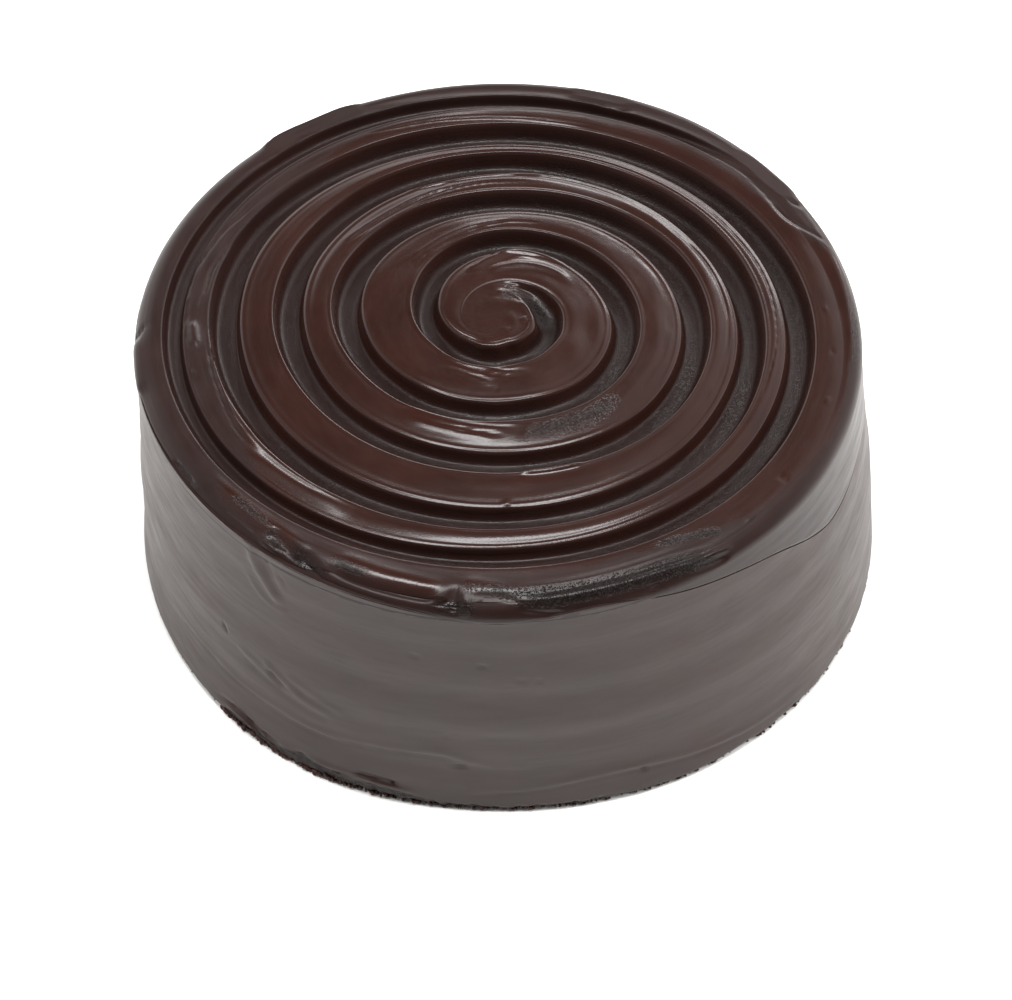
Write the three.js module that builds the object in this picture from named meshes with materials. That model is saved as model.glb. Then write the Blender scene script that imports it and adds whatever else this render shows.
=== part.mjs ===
// Round chocolate fudge cake, eight inches across and about three inches tall, uncut.
// The cake and the fudge spread on its side are one solid. The fudge on top is a layer
// of its own: one spiral groove is drawn in its face, and its edge laps over the side.
// Millimetres, +Z up, the foot's centre at the origin, the front of the cake towards -Y.
import * as THREE from 'three';

// ---- driving sizes ----------------------------------------------------------------

const HEIGHT = 78.3;
const TOP_CENTRE = new THREE.Vector2(-2.4, 0.3); // the cake leans: its top against its foot
const COLUMNS = 96; // sides of the round forms
const CONTACT_GAP = 0.3; // between the fudge layer and the cake

// The cake is a little out of round. Each list goes clockwise from the back, every 30
// degrees: back, right back, right, and so on by the front and the left.
const SIDE_TOP_RADII = [101.5, 102.4, 100.2, 99.5, 100, 100.5, 100.8, 100.4, 99.6, 100.2, 101, 101.6];
const FOOT_RADII = [104.5, 104.5, 104.5, 105.1, 106.2, 106.2, 105.8, 107.2, 105.4, 104.3, 104, 104];
const SIDE_BULGES = [1, 1, 1.4, 2, 1.8, 1.1, 1, 1, 1, 1, 1, 1]; // a little above the foot
const SHOULDER_WIDTHS = [2.6, 2.6, 2.8, 3.8, 5.2, 6.8, 7.8, 8, 7.6, 6.6, 5.2, 3.8];
const SHOULDER_SHAPE = 0.8; // height of the rounded shoulder over its width

const SPREAD_POWER = 1.2; // how the side widens from its top to its foot
const BULGE_DROP = 1.7; // puts the bulge below half the height
const FOOT_FLARE = 1.6; // fudge dragged out along the foot
const FOOT_FLARE_HEIGHT = 10;
const TOE_UNDERCUT = 1.6; // the foot draws in again where it meets what it stands on
const TOE_HEIGHT = 1.8;

const BAND_SPACING = 16; // soft bands that the spatula leaves round the side
const BAND_DEPTH = 0.45;
const BAND_TROUGH = 43.5;
const BAND_DRIFT = 2.4;
const BANDS_BEGIN = [6, 16]; // heights over which they fade in above the foot
const BANDS_END = [60, 71]; // and fade out again below the lap

const CRAG_DEPTH = 1.3; // torn fudge along the foot
const CRAG_INWARD = 0.6; // share of that depth which goes in rather than out
const CRAG_JITTER = 0.9; // up and down
const CRAG_TOP = 9;
const CRAG_SEED = 20419;
const FOOT_HEIGHTS = [0.9, 2.2, 4.2, 6.5, CRAG_TOP, 11.5]; // rows near the foot
const SIDE_START = 16; // the side's rows go from here to the lap's edge, in these shares
const SIDE_SHARES = [0, 0.11, 0.22, 0.34, 0.46, 0.58, 0.7, 0.82, 0.94, 1];

const LAYER_THICKNESS = 7.5; // fudge on top, measured from the ridges
const LAP_THICKNESS = 2.4; // the same fudge where it hangs over the side
const LAP_STEP = 0.8; // how far the lap stands proud of the side below it
const LAP_STEP_DEPTHS = [1, 5]; // depths below the top between which that step grows
const LAP_ROUNDING = 0.8;
const LAP_TUCK = 0.1; // its edge turns in a little behind the side's face
const LAP_SHARES = [0.1, 0.24, 0.42, 0.7, 1]; // rows from the face down to the lap's edge
const BED_RADIUS = 90; // the cake's flat bed under the fudge
const BED_TURN_RADIUS = 97; // where the joint turns up or down to the lap's edge
const BED_TURN_MARGIN = 1; // and it stays this far inside the lap
const BED_SLOPE_OUT = 0.6; // a step on the way to the edge: share of the way out
const BED_SLOPE_DOWN = 0.4; // and share of the way down

const GROOVE_TURNS = 5.13;
const GROOVE_DEPTH = 5.3; // against the inner wall; the floor rises outwards
const GROOVE_RISE = 0.4; // share of the depth lost across the floor
const GROOVE_HALF_WIDTH = 4.0;
const GROOVE_WALL = 0.38; // share of the half width that each wall takes
const GROOVE_OPENS = 0.35; // turns over which it opens from its start
const GROOVE_START_WIDTH = 0.45; // share of its width at the start
const GROOVE_SHALLOWS = [4.2, 4.9]; // turns between which it narrows and gets shallower
const GROOVE_LAST_SHARE = 0.62; // share of its width and depth after that
const LIP_ROUNDING = 0.35; // drop of the ridge at the edge of the groove
const LIP_REACH = 1.45; // in half widths, where the ridge is level again
const CORE_RADIUS = 3; // disc left at the very centre of the knob
const SWIRL_RIM = 97.5; // outermost circle that the swirl's rows reach
const SNAP = 0.05; // points this near those two circles go onto them

// Distance of the groove's centre line from the top's centre, six to a turn and
// clockwise from the back. The first row lies inside the knob, the last past the rim.
const SWIRL = [
  [-6, -5, -3, 0, 4, 10],
  [15.6, 14.5, 14.2, 9.6, 14.2, 24.3],
  [34.0, 35.3, 33.7, 31.4, 36.2, 45.8],
  [50.6, 54.3, 53.2, 49.9, 53.4, 61.8],
  [66.6, 68.9, 69.4, 69.4, 72.4, 78.2],
  [79.1, 81.8, 82.9, 83.0, 87.8, 91.0],
  [92.6, 94.8, 97.5, 101, 105, 109],
  [112, 115, 118, 121, 124, 127],
];
const SWIRL_FIRST_TURN = -1;

// Height of the lap's edge all round, every 15 degrees, clockwise from the back.
const LAP_EDGE = [
  69.5, 68, 66.5, 64, 61.5, 57.5, // back to right
  54.5, 55.5, 54.5, 65, 70.5, 75, // right to front
  72.5, 74.5, 75.2, 75, 74.8, 74.5, // front to left
  74.5, 74, 73.5, 72.5, 71.5, 70.5, // left to back
];

const FUDGE_TOP_COLOUR = 0x4a302a;
const CAKE_SIDE_COLOUR = 0x4b3f3c;

// ---- small helpers ------------------------------------------------------------------

const lerp = THREE.MathUtils.lerp;
const clamp = THREE.MathUtils.clamp;

/** Smooth step from 0 at `from` to 1 at `to`. */
function ease(from, to, x) {
  return THREE.MathUtils.smoothstep(x, from, to);
}

/** Smooth curve through evenly spaced values, at position x counted in values. */
function through(values, x, closed) {
  const count = values.length;
  const at = (i) => values[closed ? (i + count) % count : clamp(i, 0, count - 1)];
  const i = Math.floor(x);
  const f = x - i;
  const [a, b, c, d] = [at(i - 1), at(i), at(i + 1), at(i + 2)];
  const bend = (3 * (b - c) + d - a) * f + 2 * a - 5 * b + 4 * c - d;
  return b + 0.5 * f * (c - a + f * bend);
}

/** Seeded random numbers from 0 to 1. */
function seededRandom(seed) {
  let state = seed;
  return () => {
    state = (state + 0x6d2b79f5) | 0;
    let mixed = Math.imul(state ^ (state >>> 15), 1 | state);
    mixed = (mixed + Math.imul(mixed ^ (mixed >>> 7), 61 | mixed)) ^ mixed;
    return ((mixed ^ (mixed >>> 14)) >>> 0) / 4294967296;
  };
}

/** Share of a full clockwise circle from the back that a column stands at. */
function roundShare(column) {
  return (column % COLUMNS) / COLUMNS;
}

/** A point at a radius and height, on a circle whose centre follows the lean. */
function pointAt(column, radius, z, centreHeight = z) {
  const angle = roundShare(column) * 2 * Math.PI;
  const lean = centreHeight / HEIGHT;
  const x = TOP_CENTRE.x * lean + radius * Math.sin(angle);
  const y = TOP_CENTRE.y * lean + radius * Math.cos(angle);
  return new THREE.Vector3(x, y, z);
}

// ---- forms that both solids share -----------------------------------------------------

/** A value from one of the lists that go round the cake. */
function aroundCake(values, column) {
  return through(values, roundShare(column) * values.length, true);
}

/** Height of the lap's edge at a column. */
function lapEdge(column) {
  return aroundCake(LAP_EDGE, column);
}

/** Radius of the finished side at a height, with the spatula's bands. */
function sideRadius(column, z) {
  const top = aroundCake(SIDE_TOP_RADII, column);
  const foot = aroundCake(FOOT_RADII, column);
  const shoulder = SHOULDER_SHAPE * aroundCake(SHOULDER_WIDTHS, column);
  const down = clamp(1 - z / (HEIGHT - shoulder), 0, 1);
  const bulge = aroundCake(SIDE_BULGES, column) * Math.sin(Math.PI * down ** BULGE_DROP);
  const spread = (foot - top) * down ** SPREAD_POWER + bulge;
  const flare = FOOT_FLARE * Math.exp(-((z / FOOT_FLARE_HEIGHT) ** 2));
  const toe = TOE_UNDERCUT * (1 - ease(0, TOE_HEIGHT, z));
  const drift = BAND_DRIFT * Math.sin(roundShare(column) * 4 * Math.PI);
  const wave = Math.cos(((z - BAND_TROUGH - drift) / BAND_SPACING) * 2 * Math.PI);
  const fade = ease(...BANDS_BEGIN, z) * (1 - ease(...BANDS_END, z));
  return top + spread + flare - toe - BAND_DEPTH * wave * fade;
}

/** Radius of the fudge at a height: the shoulder's curve, then the side. */
function shellRadius(column, z) {
  const width = aroundCake(SHOULDER_WIDTHS, column);
  const up = 1 - (HEIGHT - z) / (SHOULDER_SHAPE * width);
  if (up < 0) return sideRadius(column, z);
  return aroundCake(SIDE_TOP_RADII, column) - width * (1 - Math.sqrt(1 - up * up));
}

// ---- the swirl ----------------------------------------------------------------------

const swirlKnots = SWIRL.flat();

/** Radius of the groove's centre line after a number of turns. */
function grooveRadius(turn) {
  return through(swirlKnots, (turn - SWIRL_FIRST_TURN) * SWIRL[0].length, false);
}

/** Half the groove's width, lip to lip: narrow at its start and in its last turn. */
function grooveHalfWidth(turn) {
  const start = lerp(GROOVE_START_WIDTH, 1, ease(0, GROOVE_OPENS, turn));
  const end = lerp(1, GROOVE_LAST_SHARE, ease(...GROOVE_SHALLOWS, turn));
  return GROOVE_HALF_WIDTH * start * end;
}

/** Depth against the inner wall: a comma that deepens, and an end that runs out. */
function grooveDepth(turn) {
  const start = ease(0, GROOVE_OPENS, turn);
  const shallower = lerp(1, GROOVE_LAST_SHARE, ease(...GROOVE_SHALLOWS, turn));
  const end = 1 - ease(GROOVE_SHALLOWS[1], GROOVE_TURNS, turn);
  return GROOVE_DEPTH * start * shallower * end;
}

/** Drop below the ridges at s half widths outwards from the groove's centre line. */
function grooveSection(s) {
  const floor = 1 - GROOVE_WALL;
  const walls = ease(-1, -floor, s) * (1 - ease(floor, 1, s));
  return walls * (1 - GROOVE_RISE * ease(-floor, floor, s));
}

/** Height of the fudge's face at a radius, for a column. */
function faceHeight(column, radius) {
  let drop = 0;
  for (let turn = roundShare(column); turn < GROOVE_TURNS; turn += 1) {
    const s = (radius - grooveRadius(turn)) / grooveHalfWidth(turn);
    const strength = grooveDepth(turn) / GROOVE_DEPTH;
    drop += grooveDepth(turn) * grooveSection(s);
    drop += LIP_ROUNDING * strength * (1 - ease(1, LIP_REACH, Math.abs(s)));
  }
  const width = aroundCake(SHOULDER_WIDTHS, column);
  const out = clamp(1 - (aroundCake(SIDE_TOP_RADII, column) - radius) / width, 0, 1);
  return HEIGHT - drop - SHOULDER_SHAPE * width * (1 - Math.sqrt(1 - out * out));
}

/** Radii of the rows that follow one turn: the groove's lips and feet, then the crown. */
function swirlRadii(turn) {
  const floor = 1 - GROOVE_WALL;
  const centre = grooveRadius(turn);
  const half = grooveHalfWidth(turn);
  const marks = [-LIP_REACH, -1, -floor, floor, 1].map((s) => centre + s * half);
  const nextInner = grooveRadius(turn + 1) - LIP_REACH * grooveHalfWidth(turn + 1);
  return [...marks, lerp(centre + half, nextInner, 0.5)];
}

/** Rows of the face: each starts on the core's circle and winds out to the rim. */
function swirlRows() {
  const rows = [];
  for (let turn = SWIRL_FIRST_TURN - 1; turn < SWIRL.length - 2; turn += 1) {
    swirlRadii(turn).forEach((_, mark) => {
      const row = [];
      for (let column = 0; column <= COLUMNS; column += 1) {
        let radius = swirlRadii(turn + column / COLUMNS)[mark];
        if (radius < CORE_RADIUS + SNAP) radius = CORE_RADIUS;
        if (radius > SWIRL_RIM - SNAP) radius = SWIRL_RIM;
        row.push(pointAt(column, radius, faceHeight(column, radius), HEIGHT));
      }
      rows.push(row);
    });
  }
  return rows;
}

// ---- closed skins -------------------------------------------------------------------

/** A row of points, one at each column, and the first again at the end. */
function ring(place) {
  const points = Array.from({ length: COLUMNS }, (_, column) => place(column));
  return [...points, points[0]];
}

/**
 * Joins rows into one closed skin, whose first and last rows are single points. Both
 * solids have their rows run the same way along the joint, so their faces match there:
 * the fudge's run down from its face, and the cake's run up from its foot.
 */
function closedSkin(rows, upwards) {
  const positions = [];
  const numbers = new Map();
  const numberOf = (point) => {
    const key = point.toArray().map((value) => Math.round(value * 1e4)).join();
    if (!numbers.has(key)) {
      numbers.set(key, numbers.size);
      positions.push(...point.toArray());
    }
    return numbers.get(key);
  };
  const indices = [];
  const addTriangle = (a, b, c) => {
    if (a === b || b === c || c === a) return;
    indices.push(...(upwards ? [c, b, a] : [a, b, c]));
  };
  const numbered = rows.map((row) => row.map(numberOf));
  for (let i = 0; i + 1 < rows.length; i += 1) {
    for (let j = 0; j < COLUMNS; j += 1) {
      const [a, b] = [numbered[i][j], numbered[i][j + 1]];
      const [c, d] = [numbered[i + 1][j + 1], numbered[i + 1][j]];
      addTriangle(a, b, c);
      addTriangle(a, c, d);
    }
  }
  const geometry = new THREE.BufferGeometry();
  geometry.setAttribute('position', new THREE.Float32BufferAttribute(positions, 3));
  geometry.setIndex(indices);
  geometry.computeVertexNormals();
  return geometry;
}

/**
 * Path of the joint between the fudge layer and the cake, from its middle outwards. Each
 * step is a radius and a height; `gap` sets the path back into the cake.
 */
function jointPath(column, gap = 0) {
  const bed = HEIGHT - LAYER_THICKNESS;
  const edge = lapEdge(column);
  const wall = shellRadius(column, edge) - LAP_THICKNESS;
  const turnRadius = Math.min(wall - BED_TURN_MARGIN, BED_TURN_RADIUS);
  const turnHeight = Math.max(bed, edge);
  const slopeRadius = lerp(turnRadius, wall, BED_SLOPE_OUT);
  const slopeHeight = lerp(turnHeight, edge, BED_SLOPE_DOWN);
  return [
    [BED_RADIUS, bed - gap],
    [turnRadius - gap / 2, turnHeight - gap],
    [slopeRadius - gap, slopeHeight - gap],
    [wall - gap, edge - gap],
  ];
}

// ---- the two solids -------------------------------------------------------------------

/** The fudge on top: swirled face, rounded shoulder, lap over the side, flat bed. */
function fudgeTop() {
  const rows = [ring((c) => pointAt(c, 0, faceHeight(c, 0), HEIGHT)), ...swirlRows()];
  for (const share of LAP_SHARES) {
    rows.push(ring((c) => {
      const z = lerp(faceHeight(c, SWIRL_RIM), lapEdge(c) + LAP_ROUNDING, share);
      const proud = LAP_STEP * ease(...LAP_STEP_DEPTHS, HEIGHT - z);
      return pointAt(c, shellRadius(c, z) + proud, z);
    }));
  }
  rows.push(ring((c) => pointAt(c, shellRadius(c, lapEdge(c)) - LAP_TUCK, lapEdge(c))));
  for (const step of [3, 2, 1, 0]) {
    rows.push(ring((c) => pointAt(c, ...jointPath(c)[step])));
  }
  rows.push(ring((c) => pointAt(c, 0, jointPath(c)[0][1])));
  return closedSkin(rows, false);
}

/** The cake with the fudge on its side: flat base, torn foot, banded side, flat bed. */
function cake() {
  const random = seededRandom(CRAG_SEED);
  const rows = [ring((c) => pointAt(c, 0, 0)), ring((c) => pointAt(c, sideRadius(c, 0), 0))];
  for (const height of FOOT_HEIGHTS) {
    rows.push(ring((c) => {
      const torn = height < CRAG_TOP ? (random() - CRAG_INWARD) * CRAG_DEPTH : 0;
      const z = height + (height < CRAG_TOP ? (random() - 0.5) * CRAG_JITTER : 0);
      return pointAt(c, sideRadius(c, z) + torn, z);
    }));
  }
  for (const share of SIDE_SHARES) {
    rows.push(ring((c) => {
      const z = lerp(SIDE_START, lapEdge(c) - CONTACT_GAP, share);
      return pointAt(c, shellRadius(c, z), z);
    }));
  }
  for (const step of [3, 2, 1, 0]) {
    rows.push(ring((c) => pointAt(c, ...jointPath(c, CONTACT_GAP)[step])));
  }
  rows.push(ring((c) => pointAt(c, 0, jointPath(c, CONTACT_GAP)[0][1])));
  return closedSkin(rows, true);
}

// ---- the object -------------------------------------------------------------------------

/** A named piece in its own finish. */
function piece(name, geometry, color, roughness) {
  const material = new THREE.MeshStandardMaterial({ color, roughness, metalness: 0 });
  const mesh = new THREE.Mesh(geometry, material);
  mesh.name = name;
  return mesh;
}

const group = new THREE.Group();
group.add(piece('cake', cake(), CAKE_SIDE_COLOUR, 0.45));
group.add(piece('fudge_top', fudgeTop(), FUDGE_TOP_COLOUR, 0.25));

export default group;
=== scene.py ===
"""A whole round chocolate fudge cake: satin fudge on its side, and on top a glossy layer
of fudge with one spiral groove drawn in it. Sizes are in millimetres until a mesh is
made, and the studio's are in metres. Places round the cake are in degrees clockwise from
the back, seen from above, or in shares of the circle."""

import math

import bmesh
import bpy
import numpy as np
from mathutils import Matrix, Vector


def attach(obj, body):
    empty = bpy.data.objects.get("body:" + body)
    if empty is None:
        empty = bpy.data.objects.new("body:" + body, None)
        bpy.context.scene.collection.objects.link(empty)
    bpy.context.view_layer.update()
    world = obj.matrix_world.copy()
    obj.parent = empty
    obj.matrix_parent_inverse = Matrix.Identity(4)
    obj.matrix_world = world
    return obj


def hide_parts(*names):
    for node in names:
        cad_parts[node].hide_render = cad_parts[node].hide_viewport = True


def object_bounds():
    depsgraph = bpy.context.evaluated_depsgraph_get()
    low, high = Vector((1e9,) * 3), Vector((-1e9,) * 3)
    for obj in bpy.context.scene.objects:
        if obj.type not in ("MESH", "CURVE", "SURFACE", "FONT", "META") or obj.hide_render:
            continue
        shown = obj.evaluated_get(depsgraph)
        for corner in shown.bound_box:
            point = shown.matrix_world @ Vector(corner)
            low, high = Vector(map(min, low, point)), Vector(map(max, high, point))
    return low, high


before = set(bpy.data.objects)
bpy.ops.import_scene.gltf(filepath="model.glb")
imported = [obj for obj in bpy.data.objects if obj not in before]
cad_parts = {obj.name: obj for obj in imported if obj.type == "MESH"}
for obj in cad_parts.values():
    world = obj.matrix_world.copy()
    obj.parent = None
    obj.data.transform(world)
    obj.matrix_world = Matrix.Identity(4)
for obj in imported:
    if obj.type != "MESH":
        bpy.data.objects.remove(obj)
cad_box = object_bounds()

MM = 0.001

# ---- camera ----

AIM, DISTANCE = (-2.4, 0.3, 0), 882.1
ELEVATION, ROLL = 48.9, 0.13  # in degrees
SENSOR_WIDTH = 36
LENS = SENSOR_WIDTH * 3000 / 1012  # a focal length of 3000 pixels in a picture 1012 wide
SHIFT = (0.0074, 0.0116)  # right and up, in shares of the picture's width
NEAREST, FARTHEST = 0.05, 20  # in metres


def place_camera():
    """A long lens looks down at the front of the cake, from 49 degrees up."""
    aim, distance = Vector(AIM) * MM, DISTANCE * MM
    elevation, roll = math.radians(ELEVATION), math.radians(ROLL)
    back = Vector((0, -math.cos(elevation), math.sin(elevation)))
    right = Vector((1, 0, 0))
    up = back.cross(right)
    right, up = (
        right * math.cos(roll) + up * math.sin(roll),
        up * math.cos(roll) - right * math.sin(roll),
    )
    camera = bpy.data.objects.new("camera", bpy.data.cameras.new("camera"))
    camera.matrix_world = Matrix.Translation(aim + back * distance) @ Matrix(
        (right, up, back)
    ).transposed().to_4x4()
    camera.data.sensor_width = SENSOR_WIDTH
    camera.data.lens = LENS
    camera.data.shift_x, camera.data.shift_y = SHIFT
    camera.data.clip_start, camera.data.clip_end = NEAREST, FARTHEST
    bpy.context.scene.collection.objects.link(camera)
    bpy.context.scene.camera = camera


place_camera()

# ---- sizes, the same as the solids' ----

HEIGHT = 78.3
TOP_CENTRE = np.array((-2.4, 0.3))  # the cake leans: its top against its foot

# Each list goes clockwise from the back, every 30 degrees.
SIDE_TOP_RADII = [101.5, 102.4, 100.2, 99.5, 100, 100.5, 100.8, 100.4, 99.6, 100.2, 101, 101.6]
FOOT_RADII = [104.5, 104.5, 104.5, 105.1, 106.2, 106.2, 105.8, 107.2, 105.4, 104.3, 104, 104]
SIDE_BULGES = [1, 1, 1.4, 2, 1.8, 1.1, 1, 1, 1, 1, 1, 1]  # a little above the foot
SHOULDER_WIDTHS = [2.6, 2.6, 2.8, 3.8, 5.2, 6.8, 7.8, 8, 7.6, 6.6, 5.2, 3.8]
SHOULDER_SHAPE = 0.8  # height of the rounded shoulder over its width

SPREAD_POWER = 1.2  # how the side widens from its top to its foot
BULGE_DROP = 1.7  # puts the bulge below half the height
FOOT_FLARE, FOOT_FLARE_HEIGHT = 1.6, 10  # fudge dragged out along the foot
TOE_UNDERCUT, TOE_HEIGHT = 1.6, 1.8  # the foot draws in again where it meets the floor
BAND_SPACING, BAND_DEPTH, BAND_TROUGH, BAND_DRIFT = 16, 0.45, 43.5, 2.4  # soft spatula bands

LAYER_THICKNESS = 7.5  # fudge on top, measured from the ridges
LAP_THICKNESS = 2.4  # the same fudge where it hangs over the side
BED_RADIUS, BED_TURN_RADIUS = 90, 97  # the cake's flat bed under the fudge, and its turn
CONTACT_GAP = 0.3  # between the fudge layer and the cake

GROOVE_DEPTH = 5.3
CORE_RADIUS, SWIRL_RIM = 3, 97.5  # the rows of the swirl run between these two circles

# Radius of the groove's centre line, six to a turn, from one turn before its start.
SWIRL = np.array([
    [-6, -5, -3, 0, 4, 10],
    [15.6, 14.5, 14.2, 9.6, 14.2, 24.3],
    [34.0, 35.3, 33.7, 31.4, 36.2, 45.8],
    [50.6, 54.3, 53.2, 49.9, 53.4, 61.8],
    [66.6, 68.9, 69.4, 69.4, 72.4, 78.2],
    [79.1, 81.8, 82.9, 83.0, 87.8, 91.0],
    [92.6, 94.8, 97.5, 101, 105, 109],
    [112, 115, 118, 121, 124, 127],
])

# Height of the lap's edge, every 15 degrees.
LAP_EDGE = [
    69.5, 68, 66.5, 64, 61.5, 57.5, 54.5, 55.5, 54.5, 65, 70.5, 75,
    72.5, 74.5, 75.2, 75, 74.8, 74.5, 74.5, 74, 73.5, 72.5, 71.5, 70.5,
]

# ---- sizes of what the solids leave out ----

BAND_SOFTNESS = 0.2  # how much of the solids' bands is kept under the finer ones
# How far the lap's edge stands open, every 15 degrees; at 0 it is smoothed over.
SEAM_OPEN = [
    0.5, 0.5, 0.6, 0.6, 0.6, 0.7, 0.8, 1, 1, 1, 0.9, 0.1, 0.9, 0.9, 1, 0.5,
    1, 0.8, 0.6, 0.5, 0.5, 0.5, 0.5, 0.5,
]
# Height to which the foot is torn, every 15 degrees. Below it the fudge is painted darker: torn
# flakes, and painted shade under them.
TORN_AND_SHADED_FOOT = [
    2.4, 2.4, 2.4, 2, 2.4, 2.6, 2.4, 2, 1.8, 1.6, 1.4, 1.8, 2.6, 3.8, 4.2, 2.8, 1.2, 1, 1.4, 2,
    2.4, 2.4, 2.4, 2.4,
]
# How much each ridge falls from its inner edge to its outer one, every 30 degrees.
RIDGE_FALL = [0.15, 0.2, 0.45, 0.7, 0.7, 0.65, 0.6, 0.6, 0.5, 0.35, 0.25, 0.15]
# Radius at which the wet gloss gives way to the rim's satin, every 15 degrees.
GLOSS_LIMIT = [
    88.5, 89, 90, 90.5, 91.5, 97.6, 97.4, 96.5, 97, 95, 90, 88.5, 88.5, 88.5, 88, 84, 79, 78.5,
    78.5, 78.5, 79, 81, 86, 88,
]
# How far the groove's centre line is set outwards in its first turn, every 30 degrees.
START_SHIFT = [0, 0, 0, -0.9, -2.2, -0.6, 1.6, 1.4, -0.2, -0.9, -0.8, -0.2, 0]
# How torn the groove's floor is, every 30 degrees. It also paints the floor darker: torn fudge,
# and painted shade down in the groove.
FLOOR_TEARING_AND_SHADE = [0.5, 0.5, 0.42, 0.3, 0.34, 0.4, 0.42, 0.3, 0.16, 0.1, 0.14, 0.34]

# ---- small helpers ----


def ease(start, end, x):
    """Smooth step from 0 at start to 1 at end."""
    t = np.clip((x - start) / (end - start), 0, 1)
    return t * t * (3 - 2 * t)


def hump(middle, width, x):
    """A smooth hump, 1 at the middle."""
    return np.exp(-(((x - middle) / width) ** 2))


def mix(a, b, share):
    """The value at a share of the way from a to b."""
    return a + (b - a) * share


def through(values, x, closed=False):
    """Smooth curve through evenly spaced values, at position x counted in values."""
    values = np.asarray(values, float)
    first = np.floor(x).astype(int)
    part = x - first
    places = [first - 1, first, first + 1, first + 2]
    count = len(values)
    a, b, c, d = (values[p % count if closed else np.clip(p, 0, count - 1)] for p in places)
    bend = (3 * (b - c) + d - a) * part + 2 * a - 5 * b + 4 * c - d
    return b + 0.5 * part * (c - a + part * bend)


def around(values, share):
    """A value from a list that goes round the cake."""
    return through(values, share * len(values), closed=True)


LUMP_CELLS = 32  # the noise repeats after this many lumps


def lumps(places, size, seed):
    """Smooth seeded noise from -1 to 1 at places, about size from one lump to the next."""
    table = np.random.default_rng(seed).uniform(-1, 1, (LUMP_CELLS,) * 3)
    places = np.asarray(places, float) / size
    cell = np.floor(places).astype(int)
    part = places - cell
    part = part * part * (3 - 2 * part)
    total = 0
    for corner in np.ndindex(2, 2, 2):
        weight = np.prod(np.where(corner, part, 1 - part), axis=-1)
        total = total + weight * table[tuple(((cell + corner) % LUMP_CELLS).T)]
    return total


def round_places(share, radius, height=0.0):
    """Points at a share of the circle, a radius and a height, before the lean."""
    angle = share * 2 * np.pi
    flat = [radius * np.sin(angle), radius * np.cos(angle)]
    return np.stack(np.broadcast_arrays(*flat, height), axis=-1)


STREAK_RADIUS = 100  # where a streak has its given length


def streaks(share, across, length, size, seed):
    """Noise drawn out round the cake: lumps of the given length and size across."""
    stretch = STREAK_RADIUS * size / length
    return lumps(round_places(share, stretch, across), size, seed)


def polar(path):
    """Points on the top from places in degrees clockwise from the back and radii."""
    turned, radius = np.radians([p[0] for p in path]), np.array([p[1] for p in path], float)
    return np.stack([radius * np.sin(turned), radius * np.cos(turned)], axis=1)


ARC = 1.8  # millimetres to a degree round the side


def unrolled(path):
    """Points on the unrolled side from places in degrees clockwise and heights."""
    return np.array([(turned * ARC, height) for turned, height in path], float)


MARK_STEP = 0.7  # millimetres from one point of a mark's path to the next
MARK_REACH = 2.8  # a mark is felt out to this many of its widths


def marks_relief(x, y, marks, to_points):
    """Relief of single marks. A mark has a height, its widths on the left and the right
    of its path, and the path itself; it thins out towards both ends."""
    total = np.zeros_like(x)
    for height, left, right, path in marks:
        points = to_points(path)
        length = np.hypot(*np.diff(points, axis=0).T).sum()
        steps = np.linspace(0, len(points) - 1, max(int(length / MARK_STEP), 6))
        px, py = through(points[:, 0], steps), through(points[:, 1], steps)
        tx, ty = np.gradient(px), np.gradient(py)
        size = np.hypot(tx, ty)
        tx, ty = tx / size, ty / size
        reach = MARK_REACH * max(left, right)
        near = (x > px.min() - reach) & (x < px.max() + reach)
        near &= (y > py.min() - reach) & (y < py.max() + reach)
        dx, dy = x[near][:, None] - px, y[near][:, None] - py
        nearest = (dx**2 + dy**2).argmin(axis=1)
        row = np.arange(len(nearest))
        dx, dy = dx[row, nearest], dy[row, nearest]
        offset = tx[nearest] * dy - ty[nearest] * dx
        beyond = tx[nearest] * dx + ty[nearest] * dy
        width = np.where(offset > 0, left, right)
        along = nearest / (len(px) - 1)
        taper = ease(-0.05, 0.22, along) * (1 - ease(0.78, 1.05, along))
        fade = np.exp(-((beyond / max(left, right)) ** 2))
        total[near] += height * taper * fade * np.exp(-((offset / width) ** 2))
    return total


# ---- the side ----

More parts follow.
